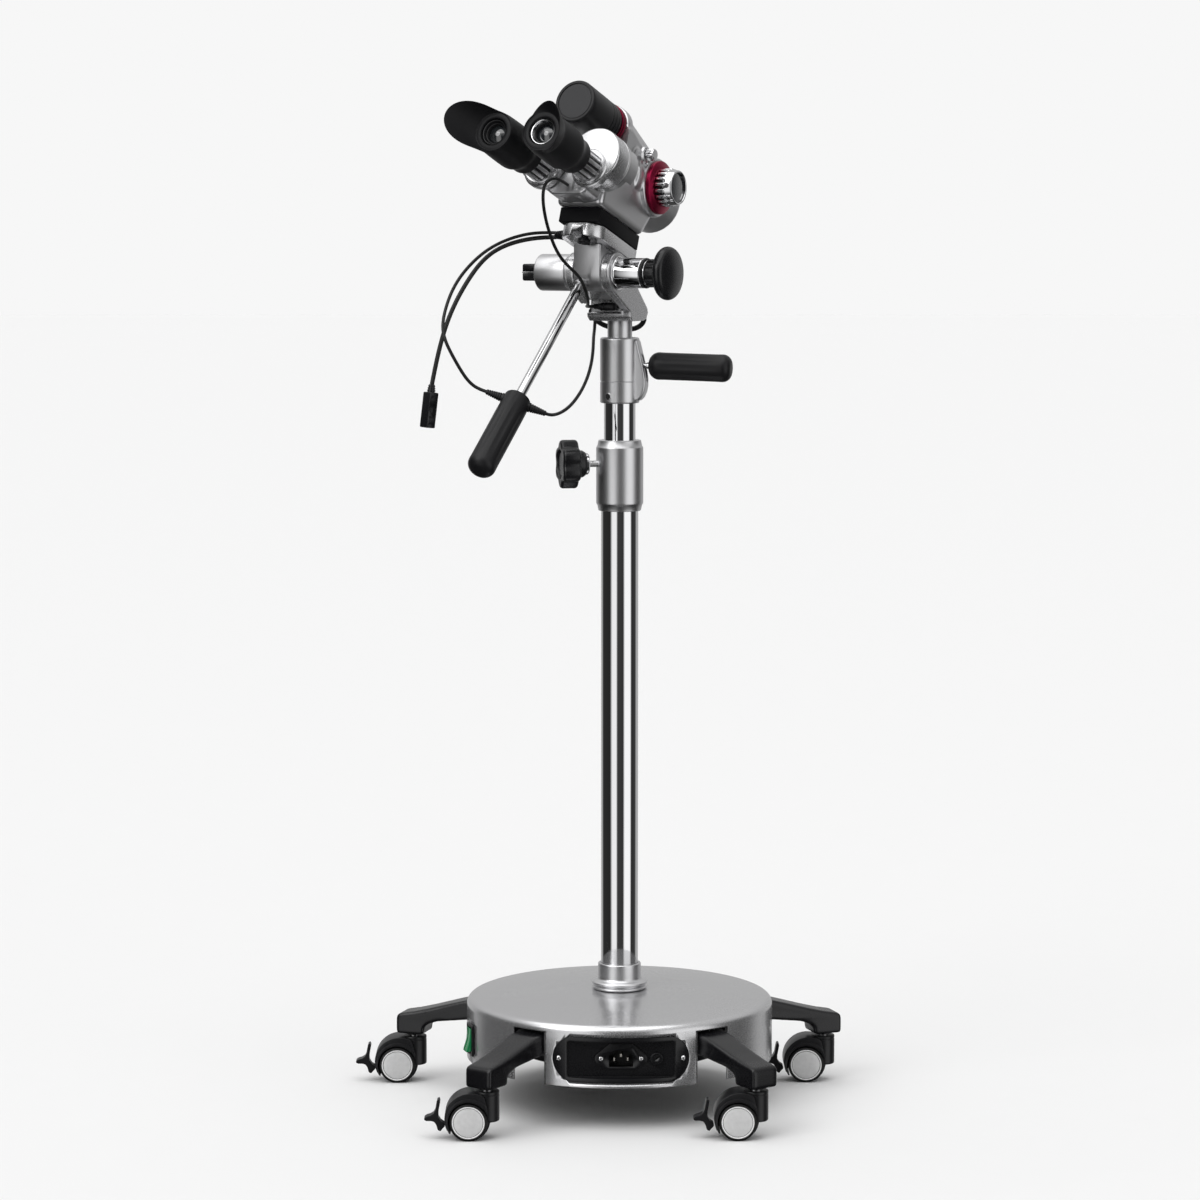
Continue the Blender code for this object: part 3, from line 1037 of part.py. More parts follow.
def make_eyecup(tag, side, frame):
    """Rubber eyecup whose rim grows into a shade on the outer side."""
    around = 16
    rings = [(EYE_TUBE_R + 3.6 * MM, CUP_START),
             (EYE_TUBE_R + 3.6 * MM, CUP_START - 12 * MM), (CUP_R - 1.5 * MM, CUP_START - 20 * MM),
             (CUP_R, CUP_START - 27 * MM), (CUP_R - 2 * MM, CUP_RIM + 5 * MM)]
    mesh = bpy.data.meshes.new("eyecup_" + tag)
    work = bmesh.new()
    rows = []
    out = 0.0 if side > 0 else math.pi
    lift = math.radians(EYE_WING_LIFT[side])
    for step in range(len(rings) + 3):
        row = []
        for i in range(around):
            angle = 2 * math.pi * i / around
            facing = max(0.0, math.cos(angle - out - lift * side)) ** 1.6
            if step < len(rings):
                radius, v = rings[step]
            else:
                t = (step - len(rings) + 1) / 3
                v = CUP_RIM + 5 * MM - 5 * MM * t - CUP_WING * t * facing
                radius = CUP_R - 2 * MM + 2.5 * MM * t + (9 * MM * t ** 0.7 + 4 * MM * t) * facing
            row.append(work.verts.new((radius * math.cos(angle), v, radius * math.sin(angle))))
        rows.append(row)
    for a, b in zip(rows, rows[1:]):
        for i in range(around):
            j = (i + 1) % around
            work.faces.new((a[i], a[j], b[j], b[i]))
    bmesh.ops.recalc_face_normals(work, faces=work.faces)
    outward = work.faces[0].normal.dot(work.faces[0].calc_center_median() - Vector((0, CUP_START, 0)))
    if outward < 0:
        bmesh.ops.reverse_faces(work, faces=work.faces)
    work.to_mesh(mesh)
    work.free()
    cup = add_object("eyecup_" + tag, mesh, MATERIALS["rubber"], frame)
    shell = cup.modifiers.new("Wall", 'SOLIDIFY')
    shell.thickness = CUP_WALL
    shell.offset = -1
    holder = turned("eye_holder_" + tag,
                    [(0, EYE_TUBE_END - 0.5 * MM), (EYE_TUBE_R, EYE_TUBE_END - 0.5 * MM),
                     (CUP_R - 1.2 * MM, EYE_TUBE_END - 12 * MM), (CUP_R - 1.2 * MM, CUP_RIM + 12 * MM),
                     (CUP_R - 7 * MM, CUP_RIM + 8 * MM), (CUP_R - 9 * MM, CUP_RIM + 13 * MM),
                     (0, CUP_RIM + 13 * MM)],
                    None, frame, rotation=ALONG_Y)
    join(cup, holder)
    return cup


def make_eye(tag, side, parent):
    """Prism housing, eyepiece tube and eyecup of one eye, about the housing's axis."""
    hub = new_empty("prism_axis_" + tag, parent, location=(side * PRISM_U, 0, PRISM_W))
    housing = turned("prism_housing_" + tag,
                     [(0, PRISM_BACK), (PRISM_R - 1.5 * MM, PRISM_BACK), (PRISM_R, PRISM_BACK - 1.5 * MM),
                      (PRISM_R, PRISM_FACE + 2 * MM), (PRISM_R - 2 * MM, PRISM_FACE), (0, PRISM_FACE)],
                     MATERIALS["silver"], hub, rotation=ALONG_Y)
    offset = (side * (EYE_U - PRISM_U), 0, EYE_W - PRISM_W)
    frame = new_empty("eye_axis_" + tag, hub, location=offset)
    collar = turned("eye_neck_" + tag,
                    [(0, PRISM_FACE + 5 * MM), (EYE_TUBE_R + 4 * MM, PRISM_FACE + 5 * MM),
                     (EYE_TUBE_R + 3 * MM, PRISM_FACE - 2 * MM), (EYE_TUBE_R + 1.4 * MM, PRISM_FACE - 5 * MM),
                     (0, PRISM_FACE - 5 * MM)], None, frame, rotation=ALONG_Y)
    join(housing, collar)
    start = PRISM_FACE - 5 * MM - GAP
    tube = slab("eye_tube_" + tag, fluted(EYE_FLUTES, EYE_TUBE_R - MM, EYE_TUBE_R), start - 24 * MM,
                start, MATERIALS["chrome"], frame, rotation=ALONG_Y)
    plain = turned("eye_tube_end_" + tag, rod_profile(EYE_TUBE_R - 0.6 * MM, EYE_TUBE_END, start - 6 * MM, 0.5 * MM),
                   None, frame, rotation=ALONG_Y)
    join(tube, plain)
    make_eyecup(tag, side, frame)


# Cables

def make_cables(parent):
    """Cable routes, in millimetres from the column's foot, before the object is centred."""
    black = MATERIALS["cable"]
    supply = [(-52.5, -94.7, 936.2), (-59.6, -107.3, 941.5), (-66.6, -119.7, 943.4), (-73, -130, 939.3),
              (-77.5, -134.9, 930.7), (-75.7, -125.7, 906), (-67.1, -106.5, 878.2), (-57.5, -89.4, 859),
              (-40.6, -67.8, 848), (-35.6, -64.9, 834), (-32.3, -53, 823), (-31.9, -27.9, 816),
              (-33.9, -15.3, 815), (-33.3, -8.1, 814.6), (-28.9, -7.4, 814.5), (-26.2, -8.9, 814.5)]
    cable("supply_cable", supply, SUPPLY_CABLE_R, black, parent, 4 * MM)
    grip_feed = [(-64.3, -43.9, 888.9), (-71.3, -40, 889), (-83, -43, 889), (-100, -58, 887),
                 (-128, -84, 877), (-147, -104, 860), (-163, -124, 841), (-171, -138, 819),
                 (-175, -150, 801), (-173, -158, 789), (-168, -161, 777), (-159, -160, 761),
                 (-149, -154.5, 743.2), (-138.8, -156.1, 738.1), (-131.8, -157.5, 735.5)]
    cable("grip_cable", grip_feed, SUPPLY_CABLE_R, black, parent)
    lead = [(-64.3, -43.9, 884.5), (-71.3, -40, 884.3), (-84, -41, 884), (-108, -60, 880),
            (-129, -76, 870), (-142, -88, 856),
            (-154, -97, 838), (-166, -104, 816), (-174, -110, 794), (-179, -114, 775), (-183, -117, 757),
            (-186, -120, 741)]
    cable("lead_cable", lead, LEAD_CABLE_R, black, parent, 12 * MM)
    release = [(-73.7, -169.1, 714.6), (-66.7, -170.5, 712), (-54, -160, 717), (-44, -142, 727),
               (-35, -118, 741), (-29, -92, 758), (-27, -62, 774), (-27, -28, 784), (-25.8, -5, 789),
               (-25.5, -0.5, 794), (-25.1, 0.4, 799.6)]
    cable("release_cable", release, SUPPLY_CABLE_R, black, parent, 5 * MM)
    loop = [(-25.5, 6.4, 812), (-29.3, 9.1, 811.5), (-29.7, 14.5, 806), (-24, 20.5, 799),
            (-13.7, 24.4, 793), (0.1, 24.6, 790.5), (11.8, 20.9, 790), (20.4, 13.7, 793),
            (25.4, 10.3, 799), (24.8, 8.4, 804.5), (22.5, 4.3, 806)]
    cable("neck_loop", loop, LOOP_CABLE_R, black, parent, 4 * MM)


def make_lead_plug(parent):
    """Rectangular connector on the free end of the lead."""
    down = Vector((-0.11, -0.09, -0.98)).to_track_quat('Z', 'Y').to_euler()
    frame = new_empty("plug_frame", parent, location=(-186 * MM, -120 * MM, 741 * MM), rotation=down)
    plug = block("lead_plug", (-6.5 * MM, -5 * MM, 8 * MM), (6.5 * MM, 5 * MM, 43 * MM),
                 MATERIALS["black"], frame)
    bevel(plug, 1.2 * MM, 1)
    relief = turned("plug_relief", [(0, 12 * MM), (5 * MM, 12 * MM), (4 * MM, GAP), (0, GAP)], None, frame,
                    steps=TINY)
    join(plug, relief)
    return plug


def recentre(root, cord_names):
    """Move the object so that its footprint's middle is at the origin."""
    bpy.context.view_layer.update()
    graph = bpy.context.evaluated_depsgraph_get()
    low = Vector((1e9, 1e9, 1e9))
    high = -low
    for obj in PARTS.objects:
        if obj.type == 'EMPTY' or obj.name in cord_names:
            continue
        solid = obj.evaluated_get(graph)
        mesh = solid.to_mesh()
        for vertex in mesh.vertices:
            place = obj.matrix_world @ vertex.co
            for axis in range(3):
                low[axis] = min(low[axis], place[axis])
                high[axis] = max(high[axis], place[axis])
        solid.to_mesh_clear()
    root.location = (-(low.x + high.x) / 2, -(low.y + high.y) / 2, -low.z)


def build():
    root = new_empty("colposcope_root", None)
    make_star_base(root)
    make_cover(root)
    make_inlet_panel(root)
    make_switch(root)
    for index in range(LEGS):
        make_caster(index, root)
    make_column(root)
    make_clamp_knob(root)
    mast = new_empty("mast", root)
    make_slider(mast)
    turntable = new_empty("head_swivel", mast, rotation=(0, 0, HEAD_TURN))
    make_bracket(turntable)
    tilt = new_empty("head_tilt", turntable, location=(0, -TILT_SETBACK, TILT_Z))
    optics = new_empty("optics_frame", tilt, rotation=(-TILT_REST, 0, 0))
    tilt_block = make_tilt_block(tilt)
    make_handle(tilt, tilt_block)
    make_head_mount(optics)
    body = make_body(optics)
    make_controls(optics, body)
    make_camera_port(optics)
    make_binocular(optics)
    make_eye("left", -1, optics)
    make_eye("right", 1, optics)
    make_cables(root)
    make_lead_plug(root)
    recentre(root, ("lead_cable", "lead_plug", "cable_gland"))
    for obj in PARTS.objects:
        if obj.type == 'MESH':
            smooth_shade(obj.data)


clear_scene()
PARTS = new_collection("colposcope")
CUTTERS = new_collection("cutters")
MATERIALS = {
    "paint": new_material("paint", (0.52, 0.52, 0.53), 0.28, 0.6),
    "arm": new_material("arm", (0.02, 0.02, 0.022), 0.4),
    "caster": new_material("caster", (0.03, 0.03, 0.032), 0.45),
    "panel": new_material("panel", (0.015, 0.015, 0.016), 0.35),
    "green": new_material("green", (0.02, 0.28, 0.1), 0.3),
    "chrome": new_material("chrome", (0.75, 0.75, 0.76), 0.08, 1.0),
    "satin": new_material("satin", (0.66, 0.67, 0.68), 0.3, 1.0),
    "silver": new_material("silver", (0.62, 0.62, 0.62), 0.35, 0.7),
    "black": new_material("black", (0.025, 0.025, 0.027), 0.45),
    "matt_black": new_material("matt_black", (0.02, 0.02, 0.02), 0.6),
    "rubber": new_material("rubber", (0.025, 0.025, 0.026), 0.75),
    "crimson": new_material("crimson", (0.35, 0.02, 0.07), 0.3, 0.8),
    "glass": new_material("glass", (0.5, 0.55, 0.6), 0.05, 0.0, 0.35),
    "cable": new_material("cable", (0.02, 0.02, 0.02), 0.5),
}
build()
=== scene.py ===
# %% [markdown]
# A colposcope is a low-power binocular microscope that a doctor looks through from
# the front while its lens points at the patient behind. It stands on a chrome column
# with a round base and five casters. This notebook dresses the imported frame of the
# object with finished surfaces. Every new piece is modelled in millimetres, in the
# frame of whatever it sits on, and then put in its place.

# %% Load the frame
from math import asin, atan2, cos, degrees, hypot, pi, radians, sin, tan

import bpy
from mathutils import Matrix, Vector


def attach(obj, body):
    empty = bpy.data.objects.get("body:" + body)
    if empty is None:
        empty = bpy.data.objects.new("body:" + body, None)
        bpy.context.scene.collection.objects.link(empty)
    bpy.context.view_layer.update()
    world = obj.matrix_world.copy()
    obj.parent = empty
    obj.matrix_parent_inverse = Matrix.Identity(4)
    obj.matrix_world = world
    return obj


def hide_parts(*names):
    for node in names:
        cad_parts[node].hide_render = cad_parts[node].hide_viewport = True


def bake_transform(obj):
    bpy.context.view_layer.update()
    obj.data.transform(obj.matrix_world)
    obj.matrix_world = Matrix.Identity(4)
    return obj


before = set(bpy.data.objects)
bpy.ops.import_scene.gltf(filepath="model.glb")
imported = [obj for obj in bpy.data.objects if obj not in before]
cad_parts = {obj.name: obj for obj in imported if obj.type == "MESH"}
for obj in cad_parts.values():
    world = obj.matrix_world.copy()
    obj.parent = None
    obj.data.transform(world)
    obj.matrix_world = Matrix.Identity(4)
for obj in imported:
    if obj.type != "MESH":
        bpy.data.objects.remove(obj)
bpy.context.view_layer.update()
MM = 0.001

# %% [markdown]
# The whole object hangs on a few axes. The column is upright, the head is turned on it,
# the optics tilt in a fork above it, and the grip hangs from the same tilt block. Each
# axis is a matrix, so a piece can be drawn straight and then turned into place.

# %% Axes of the object


def shift(x, y, z):
    return Matrix.Translation((x * MM, y * MM, z * MM))


def turn(angle, axis):
    return Matrix.Rotation(radians(angle), 4, axis)


COLUMN_X, COLUMN_Y = 22.353, -5.070
HEAD_TURN, LOCK_TURN, CLAMP_TURN, SWITCH_TURN = -29.5, -14, 192, -74
CLAMP_HEIGHT, SWITCH_HEIGHT, PANEL_HEIGHT = 655, 68.5, 71.6
TILT_FORWARD, TILT_HEIGHT, PLATE_TILT, HANDLE_DROP = 50, 849, 20, 48.5
LENS_UP, MAG_BACK, PORT_UP = 105, 40, 145
ALONG_X, BACK_X = turn(90, 'Y'), turn(-90, 'Y')
ALONG_Y, BACK_Y = turn(-90, 'X'), turn(90, 'X')
SIDE = turn(90, 'Z') @ turn(90, 'X')
FRONT = turn(90, 'X')
COLUMN = shift(COLUMN_X, COLUMN_Y, 0)
HEAD = COLUMN @ turn(HEAD_TURN, 'Z')
TILT = HEAD @ shift(0, -TILT_FORWARD, TILT_HEIGHT)
OPTICS = TILT @ turn(-PLATE_TILT, 'X')
LOCK = COLUMN @ turn(LOCK_TURN, 'Z')
CLAMP = COLUMN @ shift(0, 0, CLAMP_HEIGHT) @ turn(CLAMP_TURN, 'Z')
SWITCH = COLUMN @ turn(SWITCH_TURN, 'Z') @ shift(0, 0, SWITCH_HEIGHT)
PANEL = COLUMN @ shift(0, 0, PANEL_HEIGHT) @ FRONT
HANDLE = TILT @ shift(-9, -1.127, 1.273) @ turn(180 - HANDLE_DROP, 'X')
LENS = OPTICS @ shift(0, 0, LENS_UP) @ ALONG_Y
MAG = OPTICS @ shift(0, MAG_BACK, LENS_UP)
FILTER = OPTICS @ shift(0, 10, 129) @ ALONG_X
PORT = OPTICS @ shift(0, 0, PORT_UP) @ ALONG_Y
print("tilt axis at", [round(c, 4) for c in TILT.translation])

# %% [markdown]
# The photograph was taken from about the height of the head, nearly four metres away,
# with a long lens. The camera's distance and height come from the ellipses of the base,
# and its pitch from where the floor and the top of the object lie in the picture.

# %% Camera
lens_data = bpy.data.cameras.new("studio_camera")
SENSOR_WIDTH, FOCAL_PIXELS, PHOTO_PIXELS = 36, 3775, 1200
CAMERA_BACK, CAMERA_HEIGHT, CAMERA_PITCH = 3837, 909, 5.86
CAMERA_ROUND, CAMERA_ASIDE = -0.6, 0.3
lens_data.sensor_width = SENSOR_WIDTH
lens_data.lens = SENSOR_WIDTH * FOCAL_PIXELS / PHOTO_PIXELS
camera = bpy.data.objects.new("studio_camera", lens_data)
bpy.context.scene.collection.objects.link(camera)
camera.matrix_world = (COLUMN @ turn(CAMERA_ROUND, 'Z') @ shift(0, -CAMERA_BACK, CAMERA_HEIGHT)
                       @ turn(CAMERA_ASIDE, 'Z') @ turn(90 - CAMERA_PITCH, 'X'))
lens_data.clip_end = 100
bpy.context.scene.camera = camera
print("camera at", [round(c, 3) for c in camera.matrix_world.translation])

# %% [markdown]
# Every finish on the object has a grain: polishing lines on the chrome, a faint orange
# peel on the paint, a moulded texture on the plastics. One recipe gives them all. It
# reads the object's own coordinates, spreads a fine and a broad noise over them, and
# lets those move the colour, the roughness and the bump by small amounts.

# %% Recipe for a finish


def finish(name, colour, roughness, metallic=0.0, grain=900.0, stretch=(1, 1, 1), bump=0.05,
           vary=0.06, rough_vary=0.06, coat=0.0, broad=22.0, specular=0.5, depth=0.00004):
    material = bpy.data.materials.new(name)
    material.use_nodes = True
    nodes, links = material.node_tree.nodes, material.node_tree.links
    shader = nodes["Principled BSDF"]
    shader.inputs["Metallic"].default_value = metallic
    shader.inputs["Coat Weight"].default_value = coat
    shader.inputs["Coat Roughness"].default_value = 0.06
    shader.inputs["Specular IOR Level"].default_value = specular
    place = nodes.new("ShaderNodeTexCoord")
    spread = nodes.new("ShaderNodeMapping")
    spread.inputs["Scale"].default_value = stretch
    links.new(place.outputs["Object"], spread.inputs["Vector"])
    fine = nodes.new("ShaderNodeTexNoise")
    fine.inputs["Scale"].default_value = grain
    fine.inputs["Detail"].default_value = 4
    wide = nodes.new("ShaderNodeTexNoise")
    wide.inputs["Scale"].default_value = broad
    wide.inputs["Detail"].default_value = 5
    links.new(spread.outputs["Vector"], fine.inputs["Vector"])
    links.new(place.outputs["Object"], wide.inputs["Vector"])
    tone = nodes.new("ShaderNodeMix")
    tone.data_type = 'RGBA'
    tone.inputs["A"].default_value = (*[c * (1 - vary) for c in colour], 1)
    tone.inputs["B"].default_value = (*[min(1, c * (1 + vary)) for c in colour], 1)
    links.new(wide.outputs["Fac"], tone.inputs["Factor"])
    links.new(tone.outputs["Result"], shader.inputs["Base Color"])
    blend = nodes.new("ShaderNodeMath")
    blend.operation = 'MULTIPLY'
    links.new(fine.outputs["Fac"], blend.inputs[0])
    links.new(wide.outputs["Fac"], blend.inputs[1])
    rough = nodes.new("ShaderNodeMapRange")
    rough.inputs["From Min"].default_value = 0.1
    rough.inputs["From Max"].default_value = 0.45
    rough.inputs["To Min"].default_value = max(0.02, roughness - rough_vary)
    rough.inputs["To Max"].default_value = roughness + rough_vary
    links.new(blend.outputs["Value"], rough.inputs["Value"])
    links.new(rough.outputs["Result"], shader.inputs["Roughness"])
    relief = nodes.new("ShaderNodeBump")
    relief.inputs["Strength"].default_value = bump
    relief.inputs["Distance"].default_value = depth
    links.new(fine.outputs["Fac"], relief.inputs["Height"])
    links.new(relief.outputs["Normal"], shader.inputs["Normal"])
    return material


# %% [markdown]
# The photograph shows few colours: bright chrome on the column and knobs, satin turned
# aluminium on the collars, silver paint on the castings and the cover, black plastic and
# rubber, two crimson anodised rings, white wheel caps and a green switch.

# %% The finishes


def metal(name, colour, roughness, metallic, grain, bump, vary, rough_vary, **others):
    return finish(name, colour, roughness, metallic, grain, bump=bump, vary=vary, rough_vary=rough_vary,
                  depth=0.00002, **others)


def plastic(name, colour, roughness, grain, bump, vary, rough_vary, specular):
    return finish(name, colour, roughness, 0.0, grain, bump=bump, vary=vary, rough_vary=rough_vary,
                  specular=specular)


chrome_plate = metal("chrome_plate", (0.76, 0.76, 0.77), 0.05, 1.0, 500, 0.015, 0.02, 0.015,
                     stretch=(1, 1, 0.02))
knob_chrome = metal("knob_chrome", (0.72, 0.72, 0.73), 0.09, 1.0, 700, 0.015, 0.02, 0.02)
satin_turned = metal("satin_turned", (0.68, 0.68, 0.69), 0.36, 1.0, 420, 0.018, 0.02, 0.015,
                     stretch=(0.1, 0.1, 1))
barrel_satin = metal("barrel_satin", (0.68, 0.68, 0.69), 0.38, 1.0, 420, 0.015, 0.02, 0.015)
cover_paint = metal("cover_paint", (0.60, 0.60, 0.61), 0.27, 0.85, 1500, 0.03, 0.015, 0.02, coat=0.35,
                    broad=6)
cast_silver = metal("cast_silver", (0.62, 0.62, 0.63), 0.32, 0.92, 900, 0.05, 0.03, 0.03, broad=30)
# A lighter, glossier copy of the cast silver paint. The lower roughness is real gloss; the paler colour is a
# painted highlight on the fork, head plate, flange, channel lip and prism housings.
silver_with_painted_highlight = metal("silver_with_painted_highlight", (0.66, 0.66, 0.67), 0.27, 0.92, 900, 0.03, 0.02, 0.02)
arm_black = plastic("arm_black", (0.005, 0.005, 0.006), 0.27, 1300, 0.2, 0.25, 0.06, 0.4)
caster_black = plastic("caster_black", (0.009, 0.009, 0.010), 0.36, 1100, 0.2, 0.2, 0.08, 0.34)
tyre_black = plastic("tyre_black", (0.008, 0.008, 0.008), 0.5, 1600, 0.3, 0.3, 0.1, 0.3)
cap_white = finish("cap_white", (0.60, 0.60, 0.60), 0.38, metallic=0.1, grain=420, bump=0.25, vary=0.12,
                   rough_vary=0.1, broad=240)
rim_white = finish("rim_white", (0.78, 0.78, 0.78), 0.3, bump=0.1, vary=0.03, rough_vary=0.05)
panel_black = plastic("panel_black", (0.006, 0.006, 0.007), 0.3, 1500, 0.2, 0.2, 0.08, 0.4)
grip_black = plastic("grip_black", (0.007, 0.007, 0.008), 0.42, 1700, 0.35, 0.2, 0.08, 0.28)
knob_black = plastic("knob_black", (0.007, 0.007, 0.008), 0.3, 1200, 0.25, 0.25, 0.1, 0.4)
matt_block = plastic("matt_block", (0.004, 0.004, 0.005), 0.5, 1900, 0.3, 0.2, 0.08, 0.12)
port_black = plastic("port_black", (0.007, 0.007, 0.008), 0.4, 1500, 0.2, 0.2, 0.08, 0.32)
port_grey = plastic("port_grey", (0.032, 0.032, 0.034), 0.5, 2400, 0.25, 0.08, 0.06, 0.3)
eye_rubber = plastic("eye_rubber", (0.006, 0.006, 0.007), 0.52, 1500, 0.4, 0.2, 0.1, 0.24)
cable_black = plastic("cable_black", (0.006, 0.006, 0.006), 0.42, 1200, 0.2, 0.2, 0.08, 0.35)
crimson_ring = finish("crimson_ring", (0.30, 0.010, 0.048), 0.33, metallic=0.92, grain=1600, vary=0.05,
                      rough_vary=0.04)
port_crimson_dark = finish("crimson_dark", (0.13, 0.004, 0.020), 0.34, metallic=0.9, grain=1600, vary=0.05,
                           rough_vary=0.04)
knob_rib = plastic("knob_rib", (0.020, 0.020, 0.021), 0.26, 1200, 0.15, 0.2, 0.06, 0.6)
contact_brass = finish("contact_metal", (0.75, 0.72, 0.66), 0.25, metallic=1.0, grain=1500, bump=0.1,
                       vary=0.05, rough_vary=0.05)
green_rocker = finish("green_rocker", (0.006, 0.20, 0.065), 0.16, vary=0.25, rough_vary=0.05, coat=0.6)
dark_lens = finish("dark_lens", (0.012, 0.014, 0.016), 0.05, bump=0.0, vary=0.3, rough_vary=0.02, coat=1.0,
                   broad=60, specular=1.0)
# Near-black: the real colour of the inlet socket's plastic, and painted shade at the bottom of the lock's
# lever slot.
socket_black_and_slot_shade = finish("socket_black_and_slot_shade", (0.006, 0.006, 0.006), 0.6, bump=0.1, vary=0.2, rough_vary=0.1)
print("finishes:", len(bpy.data.materials))

# %% [markdown]
# Most pieces here were turned on a lathe or cut from an outline, so two helpers do most
# of the work. Each starts from a small plane merged to a point. The point is drawn out
# along the outline by extruding, and the line is then spun about the axis or filled and
# extruded to its thickness. A tiny bevel catches the light on every edge.

# %% Drawing helpers


def pick(*pieces):
    if bpy.context.mode != 'OBJECT':
        bpy.ops.object.mode_set(mode='OBJECT')
    bpy.ops.object.select_all(action='DESELECT')
    for piece in reversed(pieces):
        piece.select_set(True)
        bpy.context.view_layer.objects.active = piece


def drop(piece):
    bpy.data.objects.remove(piece, do_unlink=True)


def draw_outline(name, points, closed):
    pick()
    bpy.ops.mesh.primitive_plane_add(size=MM)
    piece = bpy.context.object
    piece.name = piece.data.name = name
    bpy.ops.object.mode_set(mode='EDIT')
    bpy.ops.mesh.select_all(action='SELECT')
    bpy.ops.mesh.merge(type='CENTER')
    here = Vector((0, 0, 0))
    for number, point in enumerate(points + points[:1] if closed else points):
        there = Vector(point) * MM
        if number == 0:
            bpy.ops.transform.translate(value=there - here)
        else:
            bpy.ops.mesh.extrude_region_move(TRANSFORM_OT_translate={"value": there - here})
        here = there
    bpy.ops.mesh.select_all(action='SELECT')
    bpy.ops.mesh.remove_doubles(threshold=0.001 * MM)
    bpy.ops.mesh.select_all(action='SELECT')
    return piece


def shape_with(piece, kind, **settings):
    change = piece.modifiers.new(kind.title(), kind)
    for key, value in settings.items():
        setattr(change, key, value)
    bpy.context.view_layer.objects.active = piece
    bpy.ops.object.modifier_apply(modifier=change.name)
    return piece


def settle(piece, place, angle=32):
    """Put the finished mesh in its place and leave the object itself at the origin."""
    piece.matrix_world = place
    pick(piece)
    bpy.ops.object.transform_apply(location=True, rotation=True, scale=True)
    bpy.ops.object.shade_smooth_by_angle(angle=radians(angle))
    return piece


def spun(name, outline, place, steps=96, closed=False, edge=0.0):
    piece = draw_outline(name, [(r, 0, z) for r, z in outline], closed)
    bpy.ops.mesh.spin(steps=steps, angle=2 * pi, center=(0, 0, 0), axis=(0, 0, 1))
    bpy.ops.mesh.select_all(action='SELECT')
    bpy.ops.mesh.remove_doubles(threshold=0.002 * MM)
    bpy.ops.mesh.select_all(action='SELECT')
    bpy.ops.mesh.normals_make_consistent(inside=False)
    pick()
    if edge:
        round_edges(piece, edge)
    return settle(piece, place)


def round_edges(piece, width, segments=3, angle=32):
    return shape_with(piece, 'BEVEL', width=width * MM, segments=segments, limit_method='ANGLE',
                      angle_limit=radians(angle))


def cut_out(name, outline, low, high, place, edge=0.0, segments=3, angle=32):
    piece = draw_outline(name, [(x, y, low) for x, y in outline], True)
    bpy.ops.mesh.edge_face_add()
    bpy.ops.mesh.extrude_region_move(TRANSFORM_OT_translate={"value": (0, 0, (high - low) * MM)})
    bpy.ops.mesh.select_all(action='SELECT')
    bpy.ops.mesh.normals_make_consistent(inside=False)
    pick()
    if edge:
        round_edges(piece, edge, segments, angle)
    return settle(piece, place)


def slab_box(name, low, high, place, edge=0.0):
    outline = [(low[0], low[1]), (high[0], low[1]), (high[0], high[1]), (low[0], high[1])]
    return cut_out(name, outline, low[2], high[2], place, edge)


def arc(x, y, radius, start, end, steps=8):
    return [(x + radius * cos(radians(start + (end - start) * i / steps)),
             y + radius * sin(radians(start + (end - start) * i / steps)))
            for i in range(steps + 1)]


def rod(radius, low, high, edge=0.5, steps=3):
    return ([(0, high)] + arc(radius - edge, high - edge, edge, 90, 0, steps)
            + arc(radius - edge, low + edge, edge, 0, -90, steps) + [(0, low)])


def ring(inner, outer, low, high, edge=0.5, steps=3):
    return ([(inner, high)] + arc(outer - edge, high - edge, edge, 90, 0, steps)
            + arc(outer - edge, low + edge, edge, 0, -90, steps) + [(inner, low)])


def carve(piece, *tools, how='DIFFERENCE'):
    for tool in tools:
        shape_with(piece, 'BOOLEAN', operation=how, object=tool, solver='EXACT')
        drop(tool)
    return piece


def soften(piece, voxel, rounds):
    """Fuse overlapping forms into one casting and round every corner of it a little."""
    shape_with(piece, 'REMESH', mode='VOXEL', voxel_size=voxel * MM)
    shape_with(piece, 'SMOOTH', factor=0.5, iterations=rounds)
    pick(piece)
    bpy.ops.object.shade_smooth()
    return piece


def gather(name, *parts):
    pick(*parts)
    bpy.ops.object.join()
    piece = bpy.context.object
    piece.name = piece.data.name = name
    return piece


def dress(piece, material, body, slot, *stands_for):
    piece.data.materials.clear()
    piece.data.materials.append(material)
    if body:
        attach(piece, body)
    if stands_for:
        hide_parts(*stands_for)
    return piece


def twin(piece, name, move):
    """A copy with its own mesh, moved inside the mesh so that the object stays at the origin."""
    other = piece.copy()
    other.data = piece.data.copy()
    other.name = other.data.name = name
    bpy.context.scene.collection.objects.link(other)
    other.data.transform(move)
    return other


# %% [markdown]
# The cables are thin and black. One loose lead ends in a rectangular connector that
# hangs free. The others join the head, the grip and the bracket. Each follows the same
# points as its solid, on a smooth line through them.

# %% Cables
CENTRE = Vector((COLUMN_X, COLUMN_Y, 0))
STEPS_PER_SPAN, SMOOTHING_PASSES = 12, 110
LEAD_RADIUS, THIN_RADIUS, LOOP_RADIUS = 2.2, 1.65, 2.6


